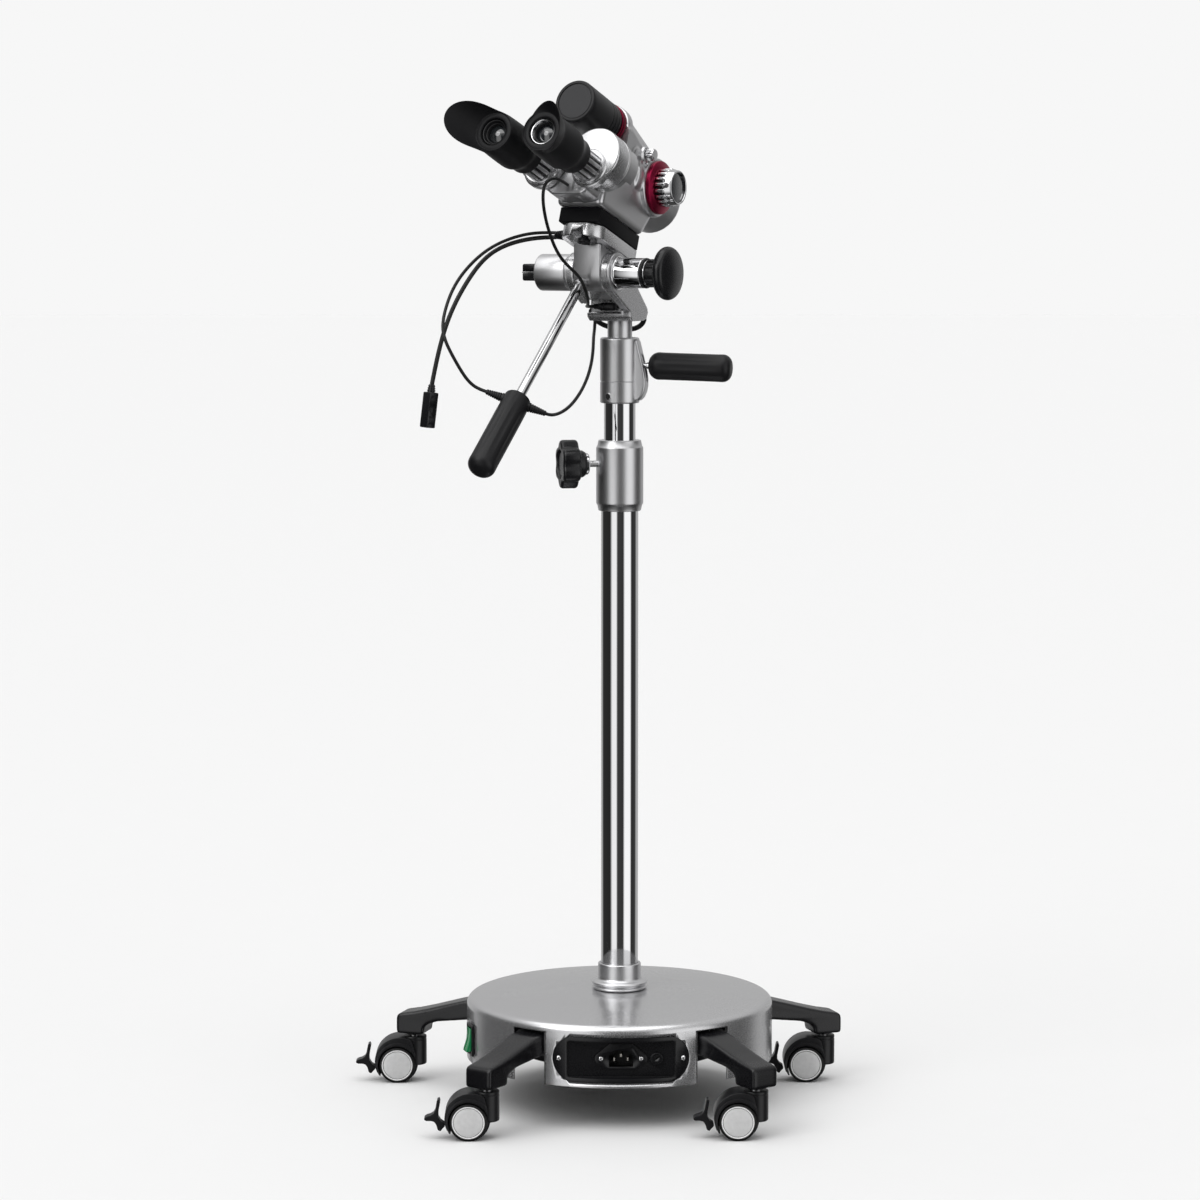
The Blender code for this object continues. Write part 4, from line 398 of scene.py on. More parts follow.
def smooth_line(points, spacing):
    knots = [Vector(p) + CENTRE for p in points]
    knots = [knots[0] * 2 - knots[1]] + knots + [knots[-1] * 2 - knots[-2]]
    line = []
    for a, b, c, d in zip(knots, knots[1:], knots[2:], knots[3:]):
        for j in range(STEPS_PER_SPAN):
            t = j / STEPS_PER_SPAN
            line.append(0.5 * (2 * b + (c - a) * t + (2 * a - 5 * b + 4 * c - d) * t ** 2
                               + (3 * b - a - 3 * c + d) * t ** 3))
    line.append(knots[-2])
    for _ in range(SMOOTHING_PASSES):
        line = line[:1] + [(a + b * 2 + c) / 4 for a, b, c in zip(line, line[1:], line[2:])] + line[-1:]
    length = sum((q - p).length for p, q in zip(line, line[1:]))
    count = max(2, round(length / spacing))
    even, travelled = [line[0]], 0.0
    for p, q in zip(line, line[1:]):
        step = (q - p).length
        while len(even) < count and travelled + step >= length * len(even) / count:
            even.append(p.lerp(q, (length * len(even) / count - travelled) / step))
        travelled += step
    return [p * MM for p in even + [line[-1]]], length * MM


def draw_cable(name, points, radius, spacing, as_mesh=False):
    line, length = smooth_line(points, spacing)
    curve = bpy.data.curves.new(name, 'CURVE')
    curve.dimensions = '3D'
    curve.bevel_depth = radius * MM
    curve.bevel_resolution = 4
    curve.use_fill_caps = True
    spline = curve.splines.new('POLY')
    spline.points.add(len(line) - 1)
    for point, place in zip(spline.points, line):
        point.co = (*place, 1)
    spline.use_smooth = True
    piece = bpy.data.objects.new(name, curve)
    bpy.context.scene.collection.objects.link(piece)
    if as_mesh:
        pick(piece)
        bpy.ops.object.convert(target='MESH')
        piece = bpy.context.object
    length = sum((q - p).length for p, q in zip(line, line[1:]))
    print(name, "length", round(length, 4))
    return piece, line, length


SUPPLY = [(-52.5, -94.7, 936.2), (-59.6, -107.3, 941.5), (-66.6, -119.7, 943.4), (-73, -130, 939.3),
          (-77.5, -134.9, 930.7), (-75.7, -125.7, 906), (-67.1, -106.5, 878.2), (-57.5, -89.4, 859),
          (-40.6, -67.8, 848), (-35.6, -64.9, 834), (-32.3, -53, 823), (-31.9, -27.9, 816),
          (-33.9, -15.3, 815), (-33.3, -8.1, 814.6), (-28.9, -7.4, 814.5), (-26.2, -8.9, 814.5)]
GRIP_FEED = [(-64.3, -43.9, 888.9), (-71.3, -40, 889), (-83, -43, 889), (-100, -58, 887),
             (-128, -84, 877), (-147, -104, 860), (-163, -124, 841), (-171, -138, 819),
             (-175, -150, 801), (-173, -158, 789), (-168, -161, 777), (-159, -160, 761),
             (-149, -154.5, 743.2), (-138.8, -156.1, 738.1), (-131.8, -157.5, 735.5)]
LEAD = [(-64.3, -43.9, 884.5), (-71.3, -40, 884.3), (-84, -41, 884), (-108, -60, 880),
        (-129, -76, 870), (-142, -88, 856), (-154, -97, 838), (-166, -104, 816), (-174, -110, 794),
        (-179, -114, 775), (-183, -117, 757), (-186, -120, 741)]
RELEASE = [(-73.7, -169.1, 714.6), (-66.7, -170.5, 712), (-54, -160, 717), (-44, -142, 727),
           (-35, -118, 741), (-29, -92, 758), (-27, -62, 774), (-27, -28, 784), (-25.8, -5, 789),
           (-25.5, -0.5, 794), (-25.1, 0.4, 799.6)]
LOOP = [(-25.5, 6.4, 812), (-29.3, 9.1, 811.5), (-29.7, 14.5, 806), (-24, 20.5, 799),
        (-13.7, 24.4, 793), (0.1, 24.6, 790.5), (11.8, 20.9, 790), (20.4, 13.7, 793),
        (25.4, 10.3, 799), (24.8, 8.4, 804.5), (22.5, 4.3, 806)]

lead, lead_line, lead_length = draw_cable("lead_sheath", LEAD, LEAD_RADIUS, 4)
dress(lead, cable_black, "head", "cable", "lead_cable")
grip_lead, _, _ = draw_cable("grip_lead_sheath", GRIP_FEED, THIN_RADIUS, 3)
dress(grip_lead, cable_black, "head", "cable", "grip_cable")
supply, _, _ = draw_cable("supply_sheath", SUPPLY, THIN_RADIUS, 2.5, True)
dress(supply, cable_black, None, "cable", "supply_cable")
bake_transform(supply)
release, _, _ = draw_cable("release_sheath", RELEASE, THIN_RADIUS, 3, True)
dress(release, cable_black, None, "cable", "release_cable")
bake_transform(release)
loop, _, _ = draw_cable("loop_sheath", LOOP, LOOP_RADIUS, 3)
dress(loop, cable_black, "bracket", "cable", "neck_loop")

# %% [markdown]
# The connector is a moulded black block. A stepped boot joins it to the lead, its edges
# are rounded, and its mouth is a dark square recess.

# %% Connector on the loose lead
plug_down = Vector((-0.11, -0.09, -0.98)).to_track_quat('Z', 'Y').to_matrix().to_4x4()
PLUG = COLUMN @ shift(-186, -120, 741) @ plug_down
connector = slab_box("connector_block", (-6.5, -5, 8), (6.5, 5, 43), PLUG, 1.2)
mouth = slab_box("connector_mouth", (-3.6, -2.6, 38), (3.6, 2.6, 46), PLUG)
steps = [slab_box("connector_step", (low, -6, 24), (low + 2.1, 6, 32), PLUG) for low in (-8, 5.9)]
carve(connector, mouth, *steps)
boot_outline = [(0, 9.5)]
for rib in range(4):
    boot_outline += [(4.6 - 0.35 * rib, 9 - 2.2 * rib), (4.5 - 0.35 * rib, 7.8 - 2.2 * rib),
                     (3.6 - 0.2 * rib, 7.6 - 2.2 * rib), (3.5 - 0.2 * rib, 7.0 - 2.2 * rib)]
boot_outline += [(2.4, 0.2), (0, 0.2)]
boot = spun("connector_boot", boot_outline, PLUG, 32)
connector = gather("lead_connector", connector, boot)
dress(connector, knob_black, "head", "black", "lead_plug")

# %% [markdown]
# The cover of the base is a shallow spun steel pan, painted silver and polished enough
# to mirror the column. Its top is slightly crowned and runs into the side through a
# small radius. Five windows let the legs out, so they are cut from the spun shell.

# %% Base cover
LEG_TURNS = [-90 + 72 * (i + 0.5) for i in range(5)]
CASTER_REACH = 225.7
COVER_R = 157.5
crown = [(r, 112.7 - 6.7 * ((r - 31) / 118.5) ** 2) for r in (31, 46, 61, 76, 91, 106, 121, 134, 142, 147)]
side_out = arc(149.5, 98.0, 8, 83, 0, 12) + [(COVER_R, 90), (COVER_R, 70), (COVER_R, 50)]
lip = arc(COVER_R - 1, 44, 1, 0, -180, 6)
side_in = [(COVER_R - 2, 60), (COVER_R - 2, 90)] + arc(149.5, 98, 6, 0, 83, 6)
crown_in = [(r, z - 2) for r, z in reversed(crown)]
cover = spun("cover_shell", [(19.4, 112.7), (25, 112.7)] + crown + side_out + lip + side_in + crown_in
             + [(19.4, 110.7)], COLUMN, 192, True)
windows = [slab_box("window", (110, -19, 38), (163, 19, 97), COLUMN @ turn(a, 'Z')) for a in LEG_TURNS]


def oblong(length, height, bulge=16, steps=16):
    half = height / 2
    radius = (half ** 2 + bulge ** 2) / (2 * bulge)
    reach = degrees(asin(half / radius))
    return (arc(length / 2 - radius, 0, radius, -reach, reach, steps)
            + arc(-length / 2 + radius, 0, radius, 180 - reach, 180 + reach, steps))


panel_hole = cut_out("panel_hole", oblong(136.6, 45.6), 128, 163, PANEL)
switch_hole = slab_box("switch_hole", (-9.3, -163, -14.3), (9.3, -146, 14.3), SWITCH)
carve(cover, *windows, panel_hole, switch_hole)
shape_with(cover, 'WEIGHTED_NORMAL', keep_sharp=True, weight=80)
dress(cover, cover_paint, "base", "paint", "base_cover")
print("cover faces:", len(cover.data.polygons))

# %% [markdown]
# The legs are one black casting: a round hub with five arms that slope down to a square
# boss over each caster. A real casting has soft corners, so each arm is cut from its
# side view, narrowed towards the tip, and then fused and smoothed.

# %% Hub and legs
arm_side = [(70, 64), (108, 64), (113, 72), (157, 72), (196, 67), (206, 63.5), (210.2, 60), (211, 52),
            (241.2, 52), (241.2, 68)] + arc(235.5, 68, 5.7, 0, 68, 4) + [
            (222, 76.2), (205, 80.5), (182, 87), (165, 91.6), (150, 94.4), (140, 95), (70, 95)]
arm = cut_out("leg_arm_1", arm_side, -18, 18, FRONT, 2.0, 2, 50)
for vertex in arm.data.vertices:
    along = min(1.0, max(0.0, (vertex.co.x / MM - 140) / 75))
    vertex.co.y *= 1 - 0.14 * along * along * (3 - 2 * along)
soften(arm, 1.25, 16)
for number, angle in enumerate(LEG_TURNS):
    leg = twin(arm, f"leg_casting_{number + 1}", COLUMN @ turn(angle, 'Z'))
    dress(leg, arm_black, "base", "arm", "star_base")
drop(arm)
boss_outline = [(0, 53), (12.4, 53), (12.2, 51.6), (8.6, 50.9), (8.0, 50.4), (8.0, 49.7), (0, 49.7)]
boss_foot = spun("boss_foot", boss_outline, shift(CASTER_REACH, 0, 0), 48)
for number, angle in enumerate(LEG_TURNS):
    foot = twin(boss_foot, f"leg_foot_{number + 1}", COLUMN @ turn(angle, 'Z'))
    dress(foot, arm_black, "base", "arm")
drop(boss_foot)
dress(spun("leg_hub", rod(110, 52, 72, 2.5), COLUMN, 128), arm_black, "base", "arm")

# %% [markdown]
# The black inlet panel follows the curve of the cover, so a thick outline is trimmed by
# a cylinder. Its recess holds the mains inlet, with three pins and a raised flange with
# two screws, and a round fuse cap with a slot.

# %% Inlet panel
FUSE = PANEL @ shift(35.5, 0, 146.4)
panel = cut_out("inlet_plate", oblong(136, 45), 140, 162, PANEL, 0)
bow = spun("panel_bow", rod(158.2, 30, 110, 0.1), COLUMN, 192)
carve(panel, bow, how='INTERSECT')
soft_box = (arc(51, 15.5, 3, 0, 90, 5) + arc(-51, 15.5, 3, 90, 180, 5) + arc(-51, -15.5, 3, 180, 270, 5)
            + arc(51, -15.5, 3, 270, 360, 5))
carve(panel, cut_out("panel_recess", soft_box, 146.5, 170, PANEL))
inlet_mouth = [(-12, -8.25), (12, -8.25), (12, 3.3), (7, 8.25), (-7, 8.25), (-12, 3.3)]
flange_outline = (arc(20.5, 0, 5.6, -62, 62, 8) + [(16, 11.2)] + arc(9, 12.4, 3.5, 20, 90, 4)
                  + arc(-9, 12.4, 3.5, 90, 160, 4) + [(-16, 11.2)] + arc(-20.5, 0, 5.6, 118, 242, 8)
                  + [(-15, -11), (15, -11)])
flange = cut_out("inlet_flange", flange_outline, 146.4, 148.4, PANEL, 0.5, 2)
carve(flange, cut_out("mouth_a", inlet_mouth, 140, 170, PANEL))
carve(panel, cut_out("mouth_b", inlet_mouth, 135, 170, PANEL))
round_edges(panel, 0.5, 2, 40)
settle(panel, Matrix.Identity(4))
dress(panel, panel_black, "base", "panel", "inlet_panel")
dress(flange, panel_black, "base", "panel")
socket_wall = cut_out("inlet_socket", [(x * 1.12, y * 1.12) for x, y in inlet_mouth], 130.6, 146.3, PANEL)
carve(socket_wall, cut_out("mouth_c", inlet_mouth, 132.2, 170, PANEL))
dress(socket_wall, socket_black_and_slot_shade, "base", "panel")
for number, (x, y) in enumerate(((-7, -2), (0, 2), (7, -2))):
    dress(slab_box(f"inlet_pin_{number + 1}", (x - 1, y - 2, 131), (x + 1, y + 2, 142), PANEL, 0.5),
          contact_brass, "base", "panel")
fuse = spun("fuse_cap", [(0, 2.6), (3.6, 2.6), (4, 2.2), (4.6, 2.2), (5.2, 3)] + arc(5.4, 2.2, 0.8, 80, 0, 4)
            + [(6.2, 0), (0, 0)], FUSE, 48)
carve(fuse, slab_box("fuse_slot", (-3.4, -0.5, 1.6), (3.4, 0.5, 4), FUSE @ turn(35, 'Z')))
dress(fuse, knob_black, "base", "panel")


def cross_screw(name, radius, place, material, body, slot):
    head = spun(name, [(0, radius * 0.55), (radius * 0.45, radius * 0.5), (radius * 0.8, radius * 0.32),
                       (radius, 0.1), (radius, -0.6), (0, -0.6)], place, 32)
    arms = [slab_box("bit", (-radius * 0.6, -radius * 0.13, radius * 0.15),
                     (radius * 0.6, radius * 0.13, radius), place @ turn(a, 'Z')) for a in (20, 110)]
    return dress(carve(head, *arms), material, body, slot)


for number, (x, depth) in enumerate(((-62, 145.4), (-20, 148.5), (20, 148.5), (62, 145.4))):
    cross_screw(f"panel_screw_{number + 1}", 2.7, PANEL @ shift(x, 0, depth), knob_chrome, "base", "panel")
print("inlet panel done")

# %% [markdown]
# The mains switch sits in the left side of the cover. Its rocker is a clear green
# moulding with two sloping faces, so it is drawn from the side and given soft edges.

# %% Mains switch
bezel = cut_out("switch_frame", [(-11, -16), (11, -16), (11, 16), (-11, 16)], 157.6, 160.1,
                SWITCH @ FRONT, 0.7)
body_box = slab_box("switch_body", (-9, -157.8, -14), (9, -143, 14), SWITCH)
carve(bezel, slab_box("switch_opening", (-7.6, -165, -13.4), (7.6, -148, 13.4), SWITCH))
carve(body_box, slab_box("switch_well", (-7.6, -165, -12.6), (7.6, -148, 12.6), SWITCH))
dress(bezel, panel_black, "base", "panel", "switch_bezel")
dress(body_box, panel_black, "base", "panel")
ROCKER = SWITCH @ shift(0, -157.1, 0)
rocker_side = ([(8, 0), (0.5, 11), (-3.6, 12)] + [(-3.9, 8), (-4.15, 4), (-4.5, 0.4)]
               + [(-5.6, -4), (-6.9, -8), (-8, -12), (0.5, -11)])
dress(cut_out("green_rocker", rocker_side, -7, 7, ROCKER @ SIDE, 0.5),
      green_rocker, "rocker", "green", "switch_rocker")

# %% [markdown]
# The five casters are alike. Each has a swivel housing with a mudguard in two steps, a
# pair of wheels with pale caps, a bright stem and a forked brake pedal. One caster is
# modelled at the origin and then copied to each leg.

# %% Caster
HUB_Z = 19 * cos(pi / 20)
AXLE = shift(-18, 0, HUB_Z)
guard_outline = arc(2.5, 3.5, 26, 62, 205, 22) + arc(0, 0, 20.3, 205, 20, 24) + [(19, 12), (16, 24)]
guard = cut_out("guard", guard_outline, -15.8, 15.8, AXLE @ FRONT, 1.6, 3)
inner_guard = cut_out("inner_guard", arc(0.8, 1.2, 23, 40, 212, 22) + arc(0, 0, 20.1, 212, 40, 24),
                      -16.6, 16.6, AXLE @ FRONT, 0.7, 2)
web_outline = arc(0, 0, 21.5, 200, -60, 20) + arc(0, 0, 9, -60, -160, 8)
web = cut_out("web", web_outline, -2.4, 2.4, AXLE @ FRONT, 0.5, 2)
housing = spun("housing", [(0, 48.5), (10.6, 48.5)] + arc(11.3, 47.3, 1.2, 80, 0, 3) + [(12.5, 45.6),
               (12.1, 45.2), (12.1, 44.6), (12.5, 44.2), (12.5, 20)] + arc(11, 19.5, 1.5, 0, -90, 3)
               + [(0, 18)], Matrix.Identity(4), 56)
side_web = cut_out("side_web", [(-12, 24), (-2, 24), (-2, 47), (-12, 47)], -11.6, 11.6, FRONT, 1.2)
yoke = gather("caster_housing", guard, inner_guard, web, housing, side_web)
stem = spun("caster_stem", [(0, 52), (5.4, 52), (5.4, 50.6), (4.6, 50.3), (4.6, 49.6), (6.2, 49.3),
                            (6.2, 48.3), (0, 48.3)], Matrix.Identity(4), 40)


def wheel_outline(side):
    tyre = [(10, 3), (17.4, 3)] + arc(17.4, 4.4, 1.38, -90, 0, 3) + arc(16.4, 13.3, 2.6, 0, 84, 6) + [
            (16.5, 15.9), (16.4, 15.2), (15.8, 15.0), (10, 15.0)]
    return [(r, side * z) for r, z in tyre]


AXIS = AXLE @ ALONG_Y
tyres = [spun(f"tyre_{s}", wheel_outline(s), AXIS, 80, True) for s in (-1, 1)]
axle = spun("axle_pin", rod(2.9, -4, 4, 0.2), AXIS, 24)
tyre = gather("caster_tyres", *tyres, axle)
rim_points = [(14.8, 15.1), (15.0, 15.85), (15.4, 16.0), (16.0, 15.85), (16.3, 15.1), (15.4, 14.4)]
cap_points = [(0, 15.9), (5, 15.85), (10, 15.7), (13.6, 15.45), (14.6, 14.9), (14.7, 12), (0, 12)]
rims, caps = [], []
for s in (-1, 1):
    rims.append(spun(f"rim_{s}", [(r, s * z) for r, z in rim_points], AXIS, 80, True))
    caps.append(spun(f"cap_{s}", [(r, s * z) for r, z in cap_points], AXIS, 80))
rim = gather("caster_rims", *rims)
cap = gather("caster_caps", *caps)
pedal_outline = [(0, -2.2), (2.0, 0), (1.4, 2.6), (-2.2, 5), (-4.6, 9), (-4.6, 14), (-3.4, 20), (-2.6, 24.6),
                 (-3.6, 27), (-5.6, 26.2), (-6.6, 22), (-7.6, 16), (-9.4, 12.6), (-12.5, 10.8), (-16.4, 9.6),
                 (-18.5, 8.2), (-18.6, 6.2), (-16.6, 5.2), (-12.2, 5.2), (-8.6, 4.2), (-6.6, 1), (-5.2, -4),
                 (-2.6, -5.2)]
pedal = cut_out("brake_pedal", pedal_outline, -6, 6, AXLE @ shift(-25.2, 0, -5.5) @ FRONT)
soften(pedal, 0.5, 5)
CASTER_SET = ((yoke, caster_black, "caster", "caster_yoke"), (stem, knob_chrome, "caster", None),
              (tyre, tyre_black, "wheels", "caster_wheels"), (rim, rim_white, "wheels", None),
              (cap, cap_white, "wheels", None), (pedal, caster_black, "brake", "caster_brake"))
for number, angle in enumerate(LEG_TURNS):
    tag = number + 1
    there = COLUMN @ shift(CASTER_REACH * cos(radians(angle)), CASTER_REACH * sin(radians(angle)), 0)
    for source, material, body, node in CASTER_SET:
        copy = twin(source, f"{source.name}_{tag}", there)
        dress(copy, material, f"{body}_{tag}", "caster", *([f"{node}_{tag}"] if node else []))
for source, _, _, _ in CASTER_SET:
    drop(source)
print("casters done")

# %% [markdown]
# The column is bright chrome tube, in two sizes that slide one in the other. Turned
# collars close its ends: a flanged foot on the cover, a long clamp collar at the top of
# the wide tube, and a lock collar on the narrow one.

# %% Column and collars
TUBE_R, SLIDER_R = 19, 16
dress(spun("column_chrome", ring(TUBE_R - 2.5, TUBE_R, 60.5, 637, 0.6), COLUMN, 160, True),
      chrome_plate, "base", "chrome", "column_tube")
foot = ([(19.3, 140)] + arc(20.6, 138.6, 1.4, 90, 10, 4) + [(22, 137.4), (22, 126.5)]
        + arc(25.6, 125.6, 3.6, 180, 262, 7) + [(27.2, 121.2)] + arc(27.2, 119.7, 1.3, 80, -70, 6)
        + [(26.4, 117.8), (26.4, 116.9)] + arc(27.4, 115.1, 1.1, 80, -60, 6) + [(26.8, 113.2), (19.3, 113.2)])
dress(spun("column_foot", foot, COLUMN, 128, True), satin_turned, "base", "satin", "column_ferrule")
long_collar = ([(16.3, 679), (19.8, 679)] + arc(20.6, 677.6, 1.4, 90, 40, 3) + arc(21, 670.6, 3, 50, 0, 4)
               + [(24, 669.5), (24, 616)] + arc(21, 615.4, 3, 0, -50, 4) + arc(20.6, 608.4, 1.4, -40, -90, 3)
               + [(19.3, 607), (19.3, 637.3), (16.3, 637.3)])
dress(spun("clamp_collar", long_collar, COLUMN, 128, True), satin_turned, "base", "satin", "lower_collar")
dress(spun("slider_chrome", ring(SLIDER_R - 2, SLIDER_R, 350, 735.7, 0.5), COLUMN, 128, True),
      chrome_plate, "mast", "chrome", "slider_tube")
lock_outline = ([(12.8, 783), (17.6, 783)] + arc(17.9, 780.9, 2.1, 90, 0, 5) + [(20, 776), (20, 739.3),
                (19.3, 738.9), (19.3, 738.3), (20, 737.9), (20, 719)] + arc(18.5, 718.1, 1.5, 0, -90, 4)
                + [(16.3, 716.6), (16.3, 736), (12.8, 736)])
dress(spun("lock_sleeve", lock_outline, LOCK, 128, True), satin_turned, "mast", "satin", "lock_collar")
lobe_side = [(14, 780), (19.4, 781), (20.8, 776), (22.6, 768), (25.4, 757), (27.4, 748), (28.3, 741),
             (28.2, 734), (27.2, 728.5), (24.6, 722.6), (21.4, 719.4), (14, 718.6)]
lobe = cut_out("lock_lobe", lobe_side, -9, 9, LOCK @ FRONT, 2.2, 4, 60)
carve(lobe, slab_box("lobe_slot", (10, -2.8, 739), (34, 2.8, 762), LOCK))
dress(lobe, satin_turned, "mast", "satin")
# The near-black block at the bottom of the lever slot is painted shade inside the satin lobe.
dress(slab_box("lobe_slot_shade", (17, -2.6, 739.4), (21.2, 2.6, 761.6), LOCK), socket_black_and_slot_shade, "mast", "satin")
dress(spun("lock_plug", rod(3.4, 17, 20.5, 0.5), COLUMN @ shift(0, 0, 724) @ turn(-126.5, 'Z') @ ALONG_X, 40),
      knob_chrome, "mast", "satin")

# %% [markdown]
# The lever that locks the mast has a thin steel stem and a thick black grip with long
# shallow flutes, which are pressed into the turned grip by moving its points inwards.

# %% Lock lever
LEVER = LOCK @ shift(19, 0, 755) @ turn(91.5, 'Y')
grip_profile = ([(0, 97)] + arc(5, 88, 9, 90, 0, 8) + [(14, 80), (14, 66), (14, 52), (14, 38), (14, 28)]
                + arc(3, 22.5, 11, 0, -90, 8) + [(0, 11.5)])
lever_grip = spun("lever_grip", grip_profile, Matrix.Identity(4), 144)


def flute(piece, count, depth, low, high, fade):
    """Press long shallow flutes into a turned grip that stands along Z."""
    for vertex in piece.data.vertices:
        z = vertex.co.z / MM
        inside = min(1.0, max(0.0, (z - low) / fade)) * min(1.0, max(0.0, (high - z) / fade))
        angle = atan2(vertex.co.y, vertex.co.x)
        hollow = max(0.0, cos(count * angle)) ** 0.8
        squeeze = 1 - depth * inside * hollow
        vertex.co.x *= squeeze
        vertex.co.y *= squeeze


flute(lever_grip, 8, 0.045, 22, 84, 12)
settle(lever_grip, LEVER)
dress(lever_grip, grip_black, "lever", "black", "lock_lever")
dress(spun("lever_stem", [(0, 13), (3.4, 13), (3.4, 9.6), (2.5, 9), (2.5, -5.2), (0, -5.2)], LEVER, 40),
      knob_chrome, "lever", "black")

# %% [markdown]
# The clamp knob is a black star with six lobes. Its outline is a circle whose radius
# swells six times, and a wide bevel rounds the lobes like those of a real moulding.

# %% Clamp knob
STAR_R, LOBES, LOBE_DEPTH, STAR_POINTS = 25, 6, 2.1, 120
star_outline = []
for i in range(STAR_POINTS):
    angle = 2 * pi * i / STAR_POINTS
    radius = STAR_R - LOBE_DEPTH + LOBE_DEPTH * cos(LOBES * angle) - 0.3 * cos(2 * LOBES * angle)
    star_outline.append((radius * cos(angle), radius * sin(angle)))
star = cut_out("star_lobes", star_outline, 44, 62.5, CLAMP @ ALONG_X, 3.4, 5, 60)
carve(star, spun("star_dish", rod(15.5, 59.5, 70, 1.0), CLAMP @ ALONG_X, 64))
hub_outline = [(0, 47), (13.6, 47), (13.8, 45.4), (13.8, 39.4), (12.6, 37.2), (11.6, 36), (0, 36)]
star_hub = spun("star_hub", hub_outline, CLAMP @ ALONG_X, 64)
star_cap = spun("star_cap", [(0, 61)] + arc(11, 59.6, 1.4, 90, 0, 4) + [(12.4, 57), (0, 57)],
                CLAMP @ ALONG_X, 64)
star = gather("clamp_star", star, star_hub, star_cap)
dress(star, knob_black, "clamp", "black", "clamp_knob")
screw_outline = ([(0, 37), (10.6, 37)] + arc(10, 35.4, 1, 80, 0, 3)
                 + [(11, 34), (10.2, 33), (3.3, 33), (3.3, 16.4), (0, 16.4)])
dress(spun("clamp_screw", screw_outline, CLAMP @ ALONG_X, 64), knob_chrome, "clamp", "chrome")
print("column done")

# %% [markdown]
# The fork that carries the head is a silver casting: two cheeks that lean forwards from
# a solid foot, with a channel in front where a cable is plugged in. It is built from its
# side view, opened by cutting, and softened like the legs.

# %% Fork
dress(spun("neck_chrome", rod(12.5, 738, 809.5, 0.8), HEAD, 96),
      barrel_satin, "bracket", "chrome", "neck_shaft")
foot_side = [(-19, 800), (6, 800), (12, 802.5), (14.5, 808), (13.5, 812.5)]
cheek_side = foot_side + arc(-50, 849, 20, 45, 235, 30) + [(-24, 810), (-23, 804)]
fork = cut_out("fork_casting", cheek_side, -25, 25, HEAD @ SIDE)
gap_side = ([(-84, 795), (-33, 795), (-30, 814)] + arc(-50, 849, 19.8, -48, -12, 10)
            + [(-27.5, 850.5), (0, 850.5), (0, 879), (-84, 879)])
carve(fork, cut_out("fork_room", gap_side, -15.7, 15.7, HEAD @ SIDE))
carve(fork, slab_box("plug_channel", (-27, -36, 807.6), (15, -16, 821.4), HEAD))
soften(fork, 0.8, 5)
for side in (-1, 1):
    place = TILT @ (ALONG_X if side > 0 else BACK_X)
    rim_outline = ring(17.2, 20.3, 23, 26.0 if side > 0 else 25.2, 0.8)
    dress(spun(f"cheek_rim_{side + 2}", rim_outline, place, 96, True), cast_silver, "bracket", "silver")
dress(fork, silver_with_painted_highlight, "bracket", "silver", "fork_bracket")
plug_outline = ([(0, 24)] + arc(3, 23, 1, 90, 0, 3)
                + [(4.2, 14), (4.2, 13), (3.7, 12.6), (3.7, 11.8), (4.2, 11.4), (4.2, 8.6), (3.6, 8.2),
                   (3.6, 6.8), (3.2, 6.4), (3.2, 5), (2.8, 4.6), (2.6, 0.2), (0, 0.2)])
dress(spun("channel_plug", plug_outline, HEAD @ shift(-18, -20.6, 814.5) @ ALONG_X, 40),
      knob_black, "bracket", "black", "bracket_plug")
lip_outline = [(-24, 805.6), (17.5, 805.6), (17.5, 823), (14.4, 823), (14.4, 808.4), (-24, 808.4)]
dress(cut_out("channel_lip", lip_outline, 22.6, 25.2, HEAD @ FRONT, 0.8), silver_with_painted_highlight, "bracket", "silver")

# %% [markdown]
# On the tilt axis sit a satin friction barrel with a square black tension nut on the
# left, and a chrome sleeve with a black mushroom knob on the right. The knob's hub has
# ribs for the fingers.

# %% Tilt axis
barrel_outline = ([(6, 62), (14.6, 62)] + arc(16.9, 60.4, 1.6, 90, 0, 4)
                  + [(18.5, 28), (18.3, 27.4), (17.6, 27), (17.6, 25.8), (6, 25.8)])
dress(spun("tension_barrel", barrel_outline, TILT @ BACK_X, 128, True),
      barrel_satin, "bracket", "satin", "friction_barrel")
nut = slab_box("tension_nut", (-8.5, -8.5, 62.3), (8.5, 8.5, 80.6), TILT @ BACK_X, 1.8)
carve(nut, slab_box("nut_slot", (-0.8, -9.5, 65), (0.8, 9.5, 82), TILT @ BACK_X))
dress(nut, knob_black, "bracket", "black", "tension_end")
dress(slab_box("nut_plate", (-0.55, -8.3, 64.6), (0.55, 8.3, 80.4), TILT @ BACK_X),
      knob_chrome, "bracket", "chrome")
dress(spun("tilt_sleeve", [(0, 56.6), (13.8, 56.6)] + arc(13.8, 55.4, 1.2, 90, 0, 3) + [(15, 29)]
           + arc(17, 28.6, 2, 180, 270, 4) + [(17, 25.3), (0, 25.3)], TILT @ ALONG_X, 128),
      chrome_plate, "bracket", "chrome", "tilt_shaft")
dress(spun("sleeve_seal", arc(13.7, 58.1, 1.5, 0, 360, 16)[:-1], TILT @ ALONG_X, 96, True),
      knob_black, "bracket", "black")
dress(spun("knob_washer", ring(5, 13.4, 59.7, 61.2, 0.4), TILT @ ALONG_X, 96, True),
      knob_chrome, "tilt_knob", "chrome")
disc = spun("mushroom_disc", [(0, 90.5), (8, 90.1), (15, 88.9)] + arc(20.4, 81.8, 6.2, 62, -90, 14)
            + [(17.5, 75.4), (16.4, 75.8), (15.4, 75.0), (0, 75.0)], TILT @ ALONG_X, 128)
stem_outline = [(0, 76), (12.6, 76), (12.6, 62.4), (11.8, 61.5), (4, 61.5), (4, 50), (0, 50)]
knob_stem = spun("mushroom_stem", stem_outline, TILT @ ALONG_X, 64)
